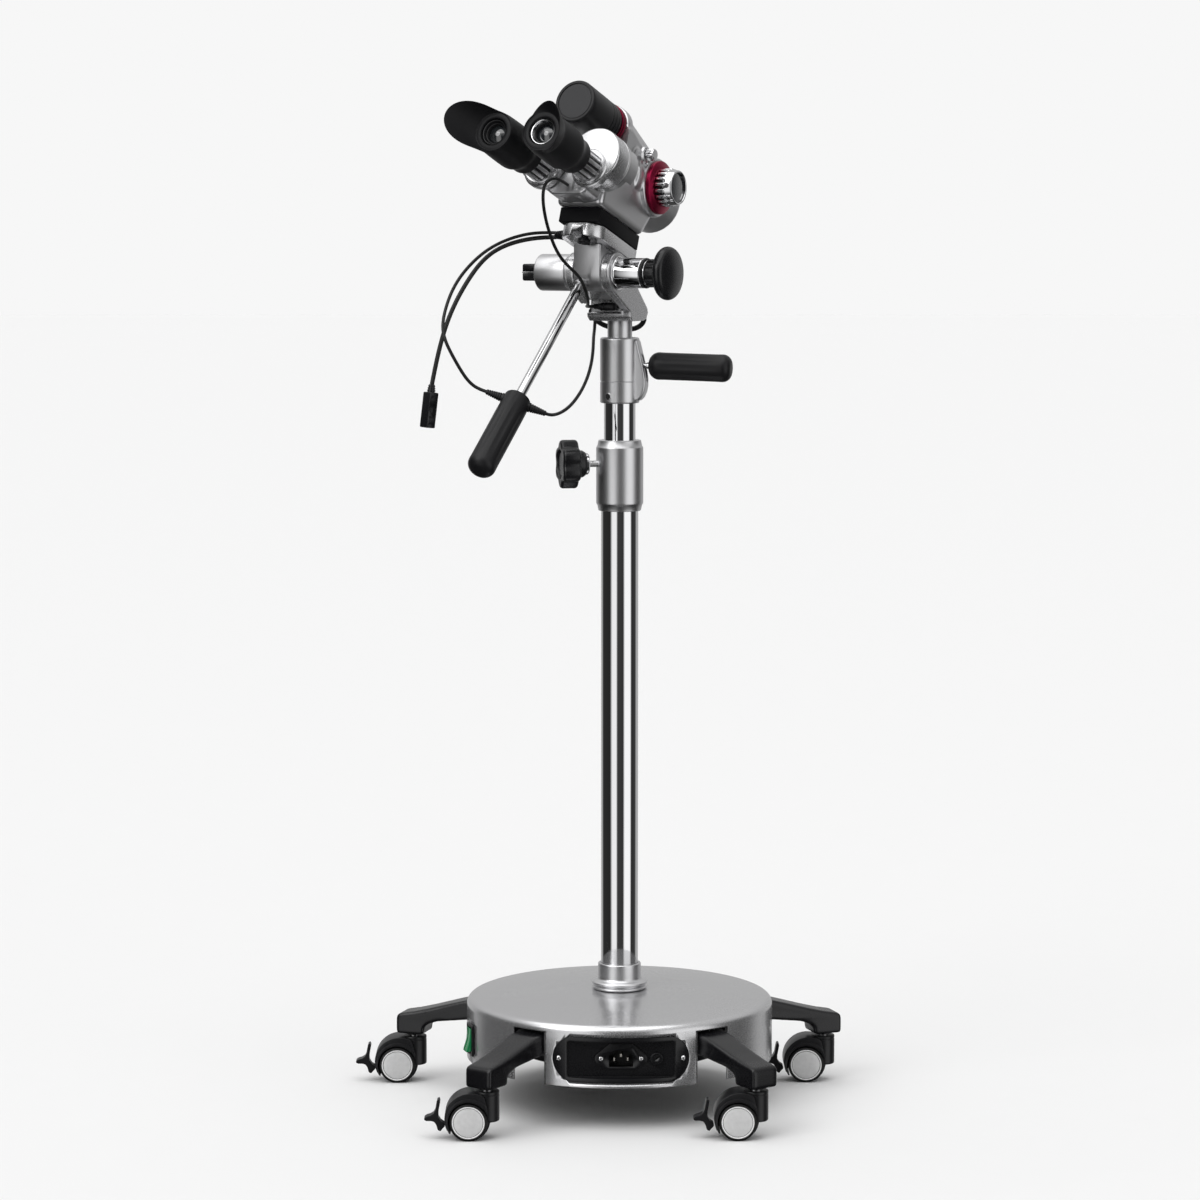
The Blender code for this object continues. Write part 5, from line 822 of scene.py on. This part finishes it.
ribs = [slab_box(f"rib_{i}", (11.6, -2.3, 62), (14.2, 2.3, 75.6),
                 TILT @ ALONG_X @ turn(36 * i + 18, 'Z'), 0.6) for i in range(10)]
mushroom = gather("tilt_mushroom", disc, knob_stem)
dress(gather("tilt_ribs", *ribs), knob_rib, "tilt_knob", "black")
dress(mushroom, knob_black, "tilt_knob", "black", "tilt_knob")

# %% [markdown]
# The block between the cheeks carries the sloping plate and the grip. The grip's chrome
# rod screws into it, and the thick black grip has a ribbed strain relief on each side,
# where its two cables go in.

# %% Tilt block and grip
BLOCK_R = 18.5
level = 21.7 / cos(radians(PLATE_TILT))
slope = tan(radians(PLATE_TILT))
block_side = ([(BLOCK_R, level - BLOCK_R * slope), (-BLOCK_R, level + BLOCK_R * slope)]
              + arc(0, 0, BLOCK_R, 180, 360, 32))
dress(cut_out("tilt_casting", block_side, -15.3, 15.3, TILT @ SIDE, 1.6, 4, 50),
      cast_silver, "head", "silver", "tilt_block")
flange = slab_box("block_flange", (-15.2, -21, 19.4), (15.2, 11, 21.9), OPTICS, 1.0)
dress(flange, silver_with_painted_highlight, "head", "silver")
dress(spun("grip_rod", rod(5, 14, 210, 0.5), HANDLE, 96), chrome_plate, "head", "chrome", "handle_rod")
dress(spun("rod_collar", ring(5, 6.4, 18.2, 21.6, 0.8), HANDLE, 64, True), cast_silver, "head", "silver")
grip_outline = ([(0, 284)] + arc(5, 275, 9, 90, 0, 8)
                + [(14, 266), (14, 250), (14, 234), (14, 218), (14, 204), (13.8, 196), (13.4, 189)]
                + arc(9.6, 184, 4, 14, 90, 5) + [(5.3, 188), (5.3, 210), (0, 210)])
grip = spun("handle_moulding", grip_outline, Matrix.Identity(4), 144)
flute(grip, 8, 0.04, 196, 272, 14)
settle(grip, HANDLE)
dress(grip, grip_black, "head", "black", "handle_grip")
FEED_END, RELEASE_START = Vector(GRIP_FEED[-1]), Vector(RELEASE[0])
RELIEF_MIDDLE = (FEED_END + RELEASE_START) / 2
relief = [(0, 31.2), (2.3, 31.2)]
for rib in range(7):
    z = 30.6 - 2.2 * rib
    relief += [(2.7 + 0.25 * rib, z), (2.8 + 0.25 * rib, z - 1.3), (2.2 + 0.2 * rib, z - 1.5),
               (2.25 + 0.2 * rib, z - 2.1)]
relief += [(4.6, 15), (5.4, 10), (0, 10)]
for name, cable_end in (("grip_relief_feed", FEED_END), ("grip_relief_release", RELEASE_START)):
    aim = (cable_end - RELIEF_MIDDLE).to_track_quat('Z', 'Y').to_matrix().to_4x4()
    dress(spun(name, relief, COLUMN @ shift(*RELIEF_MIDDLE) @ aim, 40), grip_black, "head", "black")

# %% [markdown]
# Above the block lies a bright plate with a round, dished nose, then a black spacer. A
# ribbed gland on the plate's left side lets two cables out, and a black thumb screw
# shows under the nose.

# %% Plate, spacer and gland
NOSE_R, NOSE_FRONT, PLATE_HALF, PLATE_BACK = 17, -50.5, 23, 34.5
plate_outline = ([(PLATE_HALF, PLATE_BACK), (-PLATE_HALF, PLATE_BACK)]
                 + arc(-PLATE_HALF + NOSE_R, NOSE_FRONT + NOSE_R, NOSE_R, 180, 270, 12)
                 + arc(PLATE_HALF - NOSE_R, NOSE_FRONT + NOSE_R, NOSE_R, 270, 360, 12))
plate = cut_out("head_plate_bright", plate_outline, 22, 35.7, OPTICS, 1.2, 3, 50)
dish = spun("nose_dish", [(0, 8.5), (8, 7.8), (12.5, 5.2), (15.2, 0), (15.2, -6), (0, -6)],
            OPTICS @ shift(0, -37.5, 22), 64)
carve(plate, dish)
dress(plate, silver_with_painted_highlight, "head", "silver", "head_plate")
dress(slab_box("black_spacer", (-PLATE_HALF, NOSE_FRONT, 36), (PLATE_HALF, PLATE_BACK, 51.3), OPTICS, 0.9),
      matt_block, "head", "matt_black", "spacer_block")
thumb_outline = [(0, 7), (3.6, 7), (3.6, 0.6), (4.8, 0), (5.4, -1), (5.4, -4.4), (4.6, -5.4), (0, -5.6)]
thumb = spun("thumb_screw", thumb_outline, OPTICS @ shift(3, -38, 22.8), 40)
thumb_wing = slab_box("thumb_wing", (-6.4, -1.6, -6.2), (6.4, 1.6, -0.4),
                      OPTICS @ shift(3, -38, 22.8) @ turn(25, 'Z'), 0.8)
dress(gather("nose_thumb_screw", thumb, thumb_wing), knob_black, "head", "black")
gland_outline = [(0, 11), (3.8, 11)]
for rib in range(3):
    gland_outline += [(4.0 + 0.25 * rib, 10 - 2.2 * rib), (4.2 + 0.25 * rib, 9 - 2.2 * rib),
                      (3.5 + 0.25 * rib, 8.8 - 2.2 * rib), (3.6 + 0.25 * rib, 8.2 - 2.2 * rib)]
gland_outline += [(5.0, 3), (5.0, 0.3), (0, 0.3)]
dress(spun("gland_boot", gland_outline, OPTICS @ shift(-23, -31.5, 28.5) @ BACK_X, 40),
      knob_black, "head", "black", "cable_gland")
print("mount done")

# %% [markdown]
# The optical body is one silver casting with soft transitions: a block for the
# magnification changer, the objective barrel behind it, a round pad on each side for the
# knobs, and the sloping tube of the camera port on top. The forms overlap and are fused.

# %% Optical body
BODY_FLOOR = 51.6
body_side = [(-57, BODY_FLOOR), (34.5, BODY_FLOOR), (47, BODY_FLOOR + 22), (50, 124), (-18, 148),
             (-28, 146), (-57, 112)]
core = cut_out("core", body_side, -26, 26, OPTICS @ SIDE, 6, 4, 25)
barrel_form = spun("barrel_form", rod(30, 0, 94, 2.0), LENS, 96)
pad_form = spun("pad_form", rod(30, -31, 31, 2.0), MAG @ ALONG_X, 96)
port_form = spun("port_form", rod(22.6, 0, 72, 4.0), OPTICS @ shift(0, -27.8, 144.6) @ turn(-104, 'X'), 96)
port_lip = spun("port_lip", rod(24, -27.6, -16, 1.0), PORT, 96)
small_pad = spun("small_pad", rod(8.4, 18, 29.6, 0.8), FILTER, 48)
shoulder = spun("shoulder", rod(11, 14, 27.6, 3), OPTICS @ shift(0, -4, 121) @ ALONG_X, 48)
casting = gather("optics_casting", core, barrel_form, pad_form, port_form, port_lip, small_pad, shoulder)
soften(casting, 1.05, 7)
trim = slab_box("port_trim", (-40, -80, 122), (40, -27.7, 190), OPTICS)
lens_well = spun("lens_well", rod(25.6, 85, 100, 0.2), LENS, 96)
carve(casting, trim, lens_well)
settle(casting, Matrix.Identity(4), 40)
dress(casting, cast_silver, "head", "silver", "optics_body")
print("casting faces:", len(casting.data.polygons))

# %% [markdown]
# The front lens is coated glass behind a black retaining ring, deep enough in its well
# that it never touches what the barrel is set down on.

# %% Objective lens
GLASS = OPTICS @ shift(0, 94, LENS_UP) @ ALONG_Y
objective_outline = ([(0, -1.2)] + [(r, -1.2 - 2.2 * (r / 25) ** 2) for r in (5, 10, 15, 20, 24)]
                     + [(25.1, -4), (25.1, -8.6), (0, -8.6)])
dress(spun("objective_glass", objective_outline, GLASS, 96), dark_lens, "head", "glass", "objective_lens")
dress(spun("lens_ring", ring(22.6, 25.3, -4.2, -0.8, 0.5), GLASS, 96, True), port_black, "head", "matt_black")

# %% [markdown]
# The magnification knob stands out of a crimson ring. It has chrome fingers round a dark
# core, and a chrome rim round the dark glass disc in its face. A small fluted knob for
# the green filter and a screw sit above it.

# %% Knobs on the right side
mag_outline = ([(5.3, 36.9), (20.6, 36.9), (21.2, 36.7)] + arc(25.6, 34.0, 1.4, 64, 0, 5)
               + [(27, 31.4), (5.3, 31.4)])
dress(spun("mag_crimson", mag_outline, MAG @ ALONG_X, 128, True), crimson_ring, "head", "crimson", "mag_ring")


def fluted(count, inner, outer, steps=8):
    points = []
    for i in range(count * steps):
        part = (i % steps) / steps
        wave = 0.5 + 0.5 * cos(2 * pi * part)
        radius = inner + (outer - inner) * min(1.0, wave * 1.7)
        angle = 2 * pi * i / (count * steps)
        points.append((radius * cos(angle), radius * sin(angle)))
    return points


dress(spun("mag_core", rod(17.2, 37.2, 48, 0.2), MAG @ ALONG_X, 64), port_black, "mag_knob", "black")
FINGERS = 18
mag_fingers = [slab_box(f"mag_finger_{i}", (15.8, -1.9, 37.3), (19.4, 1.9, 48.5),
                        MAG @ ALONG_X @ turn(360 / FINGERS * i, 'Z'), 1.2) for i in range(FINGERS)]
mag_face = spun("mag_face", [(5, 50), (15.2, 50), (15.2, 54.2)] + arc(16.3, 54, 1.1, 170, 20, 6)
                + [(17.8, 51.6), (18.6, 48.4), (18.6, 46), (5, 46)], MAG @ ALONG_X, 96, True)
mag_shaft = spun("mag_shaft", rod(5, 29, 52, 0.3), MAG @ ALONG_X, 40)
dress(gather("mag_chrome", mag_face, mag_shaft, *mag_fingers), knob_chrome, "mag_knob", "chrome", "mag_knob")
dress(spun("mag_glass", [(0, 53.2), (8, 53.1), (15.1, 52.4), (15.1, 50.5), (0, 50.5)], MAG @ ALONG_X, 96),
      dark_lens, "mag_knob", "glass")
small_knob = cut_out("filter_flutes", fluted(12, 5.5, 6.1, 6), 30.4, 37.6, FILTER, 0.3, 2, 50)
filter_outline = ([(0, 38.9), (4.2, 38.9)] + arc(4.6, 38, 0.9, 80, 0, 3)
                  + [(5.5, 36), (2.5, 36), (2.5, 22.4), (0, 22.4)])
small_face = spun("filter_face", filter_outline, FILTER, 40)
small_knob = gather("filter_chrome", small_knob, small_face)
dress(small_knob, knob_chrome, "filter_knob", "chrome", "filter_knob")
cross_screw("body_screw_1", 3.0, OPTICS @ shift(25.8, -8, 124) @ ALONG_X, knob_chrome, "head", "chrome")
pad_outline = [(0, 35.6), (20, 35.6)] + arc(21, 34.4, 1.2, 90, 0, 3) + [(22.2, 31.4), (0, 31.4)]
dress(spun("blank_pad", pad_outline, MAG @ BACK_X, 96), cast_silver, "head", "silver")

# %% [markdown]
# The camera port is a matt black barrel between the crimson ring and a bare grey disc
# that caps it. Three fine grooves run round its rear half.

# %% Camera port
port_outline = [(0, -36), (20.6, -36), (21.4, -37)]
for z in (-41, -47, -53):
    port_outline += [(21.9, z + 0.9), (21.9, z), (21.0, z - 0.5), (21.0, z - 1.7), (21.9, z - 2.2)]
port_outline += ([(22, -57), (22, -90)] + arc(20.2, -95.9, 1.8, 0, -90, 5)
                 + [(18.8, -97.6), (18.6, -96.6), (0, -96.6)])
dress(spun("port_barrel", port_outline, PORT, 128), port_black, "head", "matt_black", "camera_port")
disc_outline = ([(0, -97.2), (17.4, -97.2)] + arc(17.5, -96.8, 0.4, -90, 0, 2)
                + [(17.9, -95.8), (0, -95.8)])
dress(spun("port_disc", disc_outline, PORT, 96), port_grey, "head", "matt_black")
ring_outline = ([(0, -28.2), (21.6, -28.2)] + arc(21.6, -29.1, 0.9, 90, 0, 3)
                + [(22.5, -31), (22.0, -31.6), (22.0, -32.2), (22.5, -32.8)]
                + arc(21.6, -34.8, 0.9, 0, -90, 3) + [(0, -35.7)])
dress(spun("port_crimson", ring_outline, PORT, 128), port_crimson_dark, "head", "crimson", "port_ring")

# %% [markdown]
# Behind the eyepieces a faceted silver casting holds two round prism housings. They
# swing apart on it to suit the width of the observer's eyes.

# %% Binocular casting
DRUM_APART, DRUM_UP, EYE_APART, EYE_UP = 29, 91, 27, 77
lobes = [spun(f"lobe_{s}", rod(26.4, -65.6, -46, 1.2),
              OPTICS @ shift(DRUM_APART * s, 0, DRUM_UP) @ ALONG_Y, 96) for s in (-1, 1)]
chin_outline = [(-23, 57.5), (-17, 53.2), (17, 53.2), (23, 57.5),
                (27.5, 71), (20, 101), (-20, 101), (-27.5, 71)]
chin = cut_out("chin", chin_outline, 57.3, 84, OPTICS @ FRONT, 1.6, 3)
pad = cut_out("chin_pad", [(7, 58), (20.5, 59.5), (21.5, 70), (8, 69)], 83, 85.6, OPTICS @ FRONT, 1.0)
toes = [spun(f"toe_{s}", rod(6.2, 56, 77, 2), OPTICS @ shift(8.5 * s, 0, 58.6) @ BACK_Y, 40) for s in (-1, 1)]
eyes_casting = gather("binocular_casting", *lobes, chin, pad, *toes)
soften(eyes_casting, 0.85, 3)
for s in (-1, 1):
    carve(eyes_casting, spun("prism_room", rod(29, -101, -65.7, 0.1),
                             OPTICS @ shift(DRUM_APART * s, 0, DRUM_UP) @ ALONG_Y, 96))
carve(eyes_casting, slab_box("body_room", (-50, -57.2, 40), (50, -30, 140), OPTICS))
settle(eyes_casting, Matrix.Identity(4), 40)
dress(eyes_casting, cast_silver, "head", "silver", "binocular_base")

# %% [markdown]
# Each eyepiece has a round housing with a flared neck, a dark tube with satin ribs and a
# soft rubber cup with a leaf-shaped shade that keeps stray light out. The cup is turned
# first. Then its rim is pulled out on one side, further the nearer a point lies to it.
# The two shades are seen from different sides, so each has its own measures.

# %% Eyepieces
RIBS, RIB_STEP = 13, 27.7
WING_LIFT = {-1: 8, 1: 24}
WING_SWELL = {-1: 18, 1: 9}
WING_POINT = {-1: 3.1, 1: 0.9}
WING_REACH = {-1: 31, 1: 18}
WING_TAPER = {-1: 2.4, 1: 2.2}
WING_SPREAD = radians(104)


def wing_share(r, v):
    """How far along the shade a point of the cup lies, from 0 at its root to 1 at its edge."""
    if r > 20.2:
        return min(1.0, max(0.0, (-v - 185) / 8))
    return min(1.0, max(0.0, (-v - 191.7) / 1.3)) if r > 18.8 else 0.0


drum_outline = ([(0, -66), (27, -66)] + arc(27, -67, 1, 90, 0, 3)
                + [(28, -70), (27.6, -70.4), (27.6, -71.2), (28, -71.6)]
                + arc(25.6, -89.6, 2.4, 0, -90, 6) + [(0, -92)])
neck_outline = ([(0, -86), (20.4, -86), (20.4, -91.4)] + arc(21.2, -95.2, 3.6, 110, 180, 5)
                + [(17.4, -96.4), (16.6, -97), (0, -97)])
cup_outline = ([(14.9, -124.4), (17.0, -124)] + arc(17.0, -125.1, 1.1, 90, 0, 3)
               + [(18.1, -130), (18.1, -134.4), (18.9, -138), (20.3, -141.4), (21.6, -144.4), (22, -148),
                  (22, -160), (21.9, -170), (21.7, -180)]
               + [(21.4 - 0.9 * t / 10, -185 - 8 * t / 10) for t in range(11)]
               + [(20.1 - 1.1 * t / 6, -193 + 1.3 * t / 6) for t in range(7)]
               + [(18.5, -191.8), (17.4, -192.1), (15.6, -192.1), (14.4, -191.8), (13.8, -191.0),
                  (13.6, -189), (13.6, -170), (12.9, -150), (14.9, -146)])
bezel_outline = [(10.9, -186.4), (11.2, -188.6), (11.9, -189.6), (12.6, -189.8), (13.2, -189.2),
                 (13.4, -187.8), (13.4, -177), (9.4, -177), (9.4, -183)]
step_outline = [(9.3, -184.2), (9.5, -185.6), (9.9, -186.4), (10.5, -186.6), (10.8, -185.6),
                (10.8, -177), (9.3, -177)]
eye_lens_outline = ([(0, -186.4)] + [(r, -186.4 + 3.4 * (r / 9.4) ** 2) for r in (1.5, 3, 4.5, 6, 7.5, 8.6)]
                    + [(9.6, -182.8), (9.6, -177.4), (0, -177.4)])

for side, tag in ((-1, "left"), (1, "right")):
    eye_body = f"eye_{tag}"
    eye_place = OPTICS @ shift(EYE_APART * side, 0, EYE_UP)
    housing = spun(f"prism_drum_{tag}", drum_outline, OPTICS @ shift(DRUM_APART * side, 0, DRUM_UP) @ ALONG_Y,
                   128)
    neck_form = spun(f"prism_neck_{tag}", neck_outline, eye_place @ ALONG_Y, 96)
    dress(gather(f"prism_{tag}", housing, neck_form),
          silver_with_painted_highlight, eye_body, "silver", f"prism_housing_{tag}")
    dress(spun(f"eye_tube_core_{tag}", rod(13.1, -121, -97.3, 0.2), eye_place @ ALONG_Y, 64),
          port_black, eye_body, "black")
    tube_ribs = [slab_box(f"eye_rib_{tag}_{i}", (11.6, -1.9, -121), (14.6, 1.9, -97.3),
                          eye_place @ ALONG_Y @ turn(RIB_STEP * i + 8, 'Z'), 0.8) for i in range(RIBS)]
    tube_end = spun(f"eye_tube_end_{tag}", rod(13.8, -133, -120.6, 0.4), eye_place @ ALONG_Y, 64)
    dress(gather(f"eye_chrome_{tag}", tube_end, *tube_ribs),
          barrel_satin, eye_body, "chrome", f"eye_tube_{tag}")

    cup = spun(f"eyecup_form_{tag}", cup_outline, ALONG_Y, 128, True)
    lift = radians(WING_LIFT[side])
    out = 0.0 if side > 0 else pi
    for vertex in cup.data.vertices:
        x, y, z = vertex.co / MM
        radius = hypot(x, z)
        off = atan2(z, x) - out - lift * side
        off = abs(atan2(sin(off), cos(off))) / WING_SPREAD
        facing = max(0.0, 1 - off ** 2)
        grow = wing_share(radius, y)
        swell = WING_SWELL[side] * grow ** 0.8 * facing ** WING_POINT[side]
        vertex.co.x = x * (radius + swell) / radius * MM
        vertex.co.z = z * (radius + swell) / radius * MM
        vertex.co.y = (y - WING_REACH[side] * grow * facing ** WING_TAPER[side]) * MM
    shape_with(cup, 'SUBSURF', levels=1, render_levels=1)
    settle(cup, eye_place, 60)
    dress(cup, eye_rubber, eye_body, "rubber", f"eyecup_{tag}")
    # The left bezel is black as painted shade: it is the same chrome ring as the right one, but lies in
    # shade.
    dress(spun(f"lens_bezel_{tag}", bezel_outline, eye_place @ ALONG_Y, 96, True),
          knob_chrome if side > 0 else port_black, eye_body, "chrome")
    dress(spun(f"lens_step_{tag}", step_outline, eye_place @ ALONG_Y, 96, True),
          port_black, eye_body, "black")
    dress(spun(f"eye_glass_{tag}", eye_lens_outline, eye_place @ ALONG_Y, 96),
          dark_lens, eye_body, "glass")
print("eyepieces done")

# %% [markdown]
# The stage is a wide pale floor under a pale sky. The two are matched, so that no horizon
# shows behind the object. Chrome only looks like chrome when it has something dark and
# something bright to mirror, so the sky that the object sees has soft vertical bands, as
# from strip lights in a dark studio, while the camera sees it plain.

# %% Floor, sky and lights
pick()
bpy.ops.mesh.primitive_plane_add(size=60)
floor = bpy.context.object
floor.name = "studio_floor"
floor_paint = finish("floor_paint", (0.82, 0.82, 0.82), 0.7, grain=40, bump=0.02, vary=0.004,
                     rough_vary=0.05, specular=0.1)
floor.data.materials.append(floor_paint)
floor.visible_glossy = False

FAR_FLOOR, MIRRORED_LIGHT = 0.93, 0.8
sky = bpy.data.worlds.new("studio_sky")
bpy.context.scene.world = sky
sky.use_nodes = True
nodes, links = sky.node_tree.nodes, sky.node_tree.links
nodes.clear()


def sky_math(operation, first, second):
    node = nodes.new("ShaderNodeMath")
    node.operation = operation
    for socket, value in zip(node.inputs, (first, second)):
        if isinstance(value, (int, float)):
            socket.default_value = value
        else:
            links.new(value, socket)
    return node.outputs["Value"]


def sky_ramp(source, low, high, stops):
    """Brightness along one direction of the sky, with straight slopes between its stops."""
    spread = nodes.new("ShaderNodeMapRange")
    spread.inputs["From Min"].default_value = low
    spread.inputs["From Max"].default_value = high
    links.new(source, spread.inputs["Value"])
    ramp = nodes.new("ShaderNodeValToRGB")
    links.new(spread.outputs["Result"], ramp.inputs["Fac"])
    elements = ramp.color_ramp.elements
    while len(elements) > 1:
        elements.remove(elements[0])
    for number, (place, value) in enumerate(stops):
        stop = elements[0] if number == 0 else elements.new((place - low) / (high - low))
        stop.position = (place - low) / (high - low)
        stop.color = (value, value, value, 1)
    return ramp.outputs["Color"]


around = nodes.new("ShaderNodeTexCoord")
parts = nodes.new("ShaderNodeSeparateXYZ")
links.new(around.outputs["Generated"], parts.inputs["Vector"])
bearing = sky_math('ARCTAN2', parts.outputs["X"], sky_math('MULTIPLY', parts.outputs["Y"], -1))
BANDS = [(-180, 0.62), (-140, 0.60), (-122, 0.04), (-60, 0.03), (-47, 1.35), (-22, 1.35), (-14, 0.07),
         (22, 0.05), (32, 1.5), (68, 1.5), (77, 0.04), (112, 0.06), (126, 0.60), (180, 0.62)]
bands = sky_ramp(bearing, -pi, pi, [(radians(a), v) for a, v in BANDS])
heights = sky_ramp(parts.outputs["Z"], -1, 1,
                   [(-1, 0.10), (-0.6, 0.16), (-0.35, 1), (0.35, 1), (0.6, 1), (1, 1)])
overhead = sky_ramp(parts.outputs["Z"], -1, 1, [(-1, 0), (0.30, 0), (0.62, 0.9), (1, 1)])
mixed = nodes.new("ShaderNodeMix")
mixed.data_type = 'RGBA'
mixed.inputs["B"].default_value = (0.78, 0.78, 0.78, 1)
links.new(overhead, mixed.inputs["Factor"])
links.new(bands, mixed.inputs["A"])
shaded = nodes.new("ShaderNodeMix")
shaded.data_type = 'RGBA'
shaded.blend_type = 'MULTIPLY'
shaded.inputs["Factor"].default_value = 1
links.new(mixed.outputs["Result"], shaded.inputs["A"])
links.new(heights, shaded.inputs["B"])
seen = nodes.new("ShaderNodeBackground")
seen.inputs["Color"].default_value = (1, 1, 1, 1)
seen.inputs["Strength"].default_value = FAR_FLOOR
mirrored = nodes.new("ShaderNodeBackground")
mirrored.inputs["Strength"].default_value = MIRRORED_LIGHT
links.new(shaded.outputs["Result"], mirrored.inputs["Color"])
ray = nodes.new("ShaderNodeLightPath")
choice = nodes.new("ShaderNodeMixShader")
links.new(ray.outputs["Is Camera Ray"], choice.inputs["Fac"])
links.new(mirrored.outputs["Background"], choice.inputs[1])
links.new(seen.outputs["Background"], choice.inputs[2])
output = nodes.new("ShaderNodeOutputWorld")
links.new(choice.outputs["Shader"], output.inputs["Surface"])


def soft_light(name, place, power, softness):
    """A far lamp whose light is the same all over the floor; softness is its width in degrees."""
    data = bpy.data.lights.new(name, 'SUN')
    data.energy = power
    data.angle = radians(softness)
    light = bpy.data.objects.new(name, data)
    bpy.context.scene.collection.objects.link(light)
    light.location = place
    light.rotation_euler = (-Vector(place)).to_track_quat('-Z', 'Y').to_euler()


soft_light("top_light", (-0.5, -0.6, 3.0), 1.5, 70)
soft_light("key_light", (-1.8, -1.6, 1.7), 0.7, 36)
bpy.context.scene.view_settings.view_transform = 'Standard'
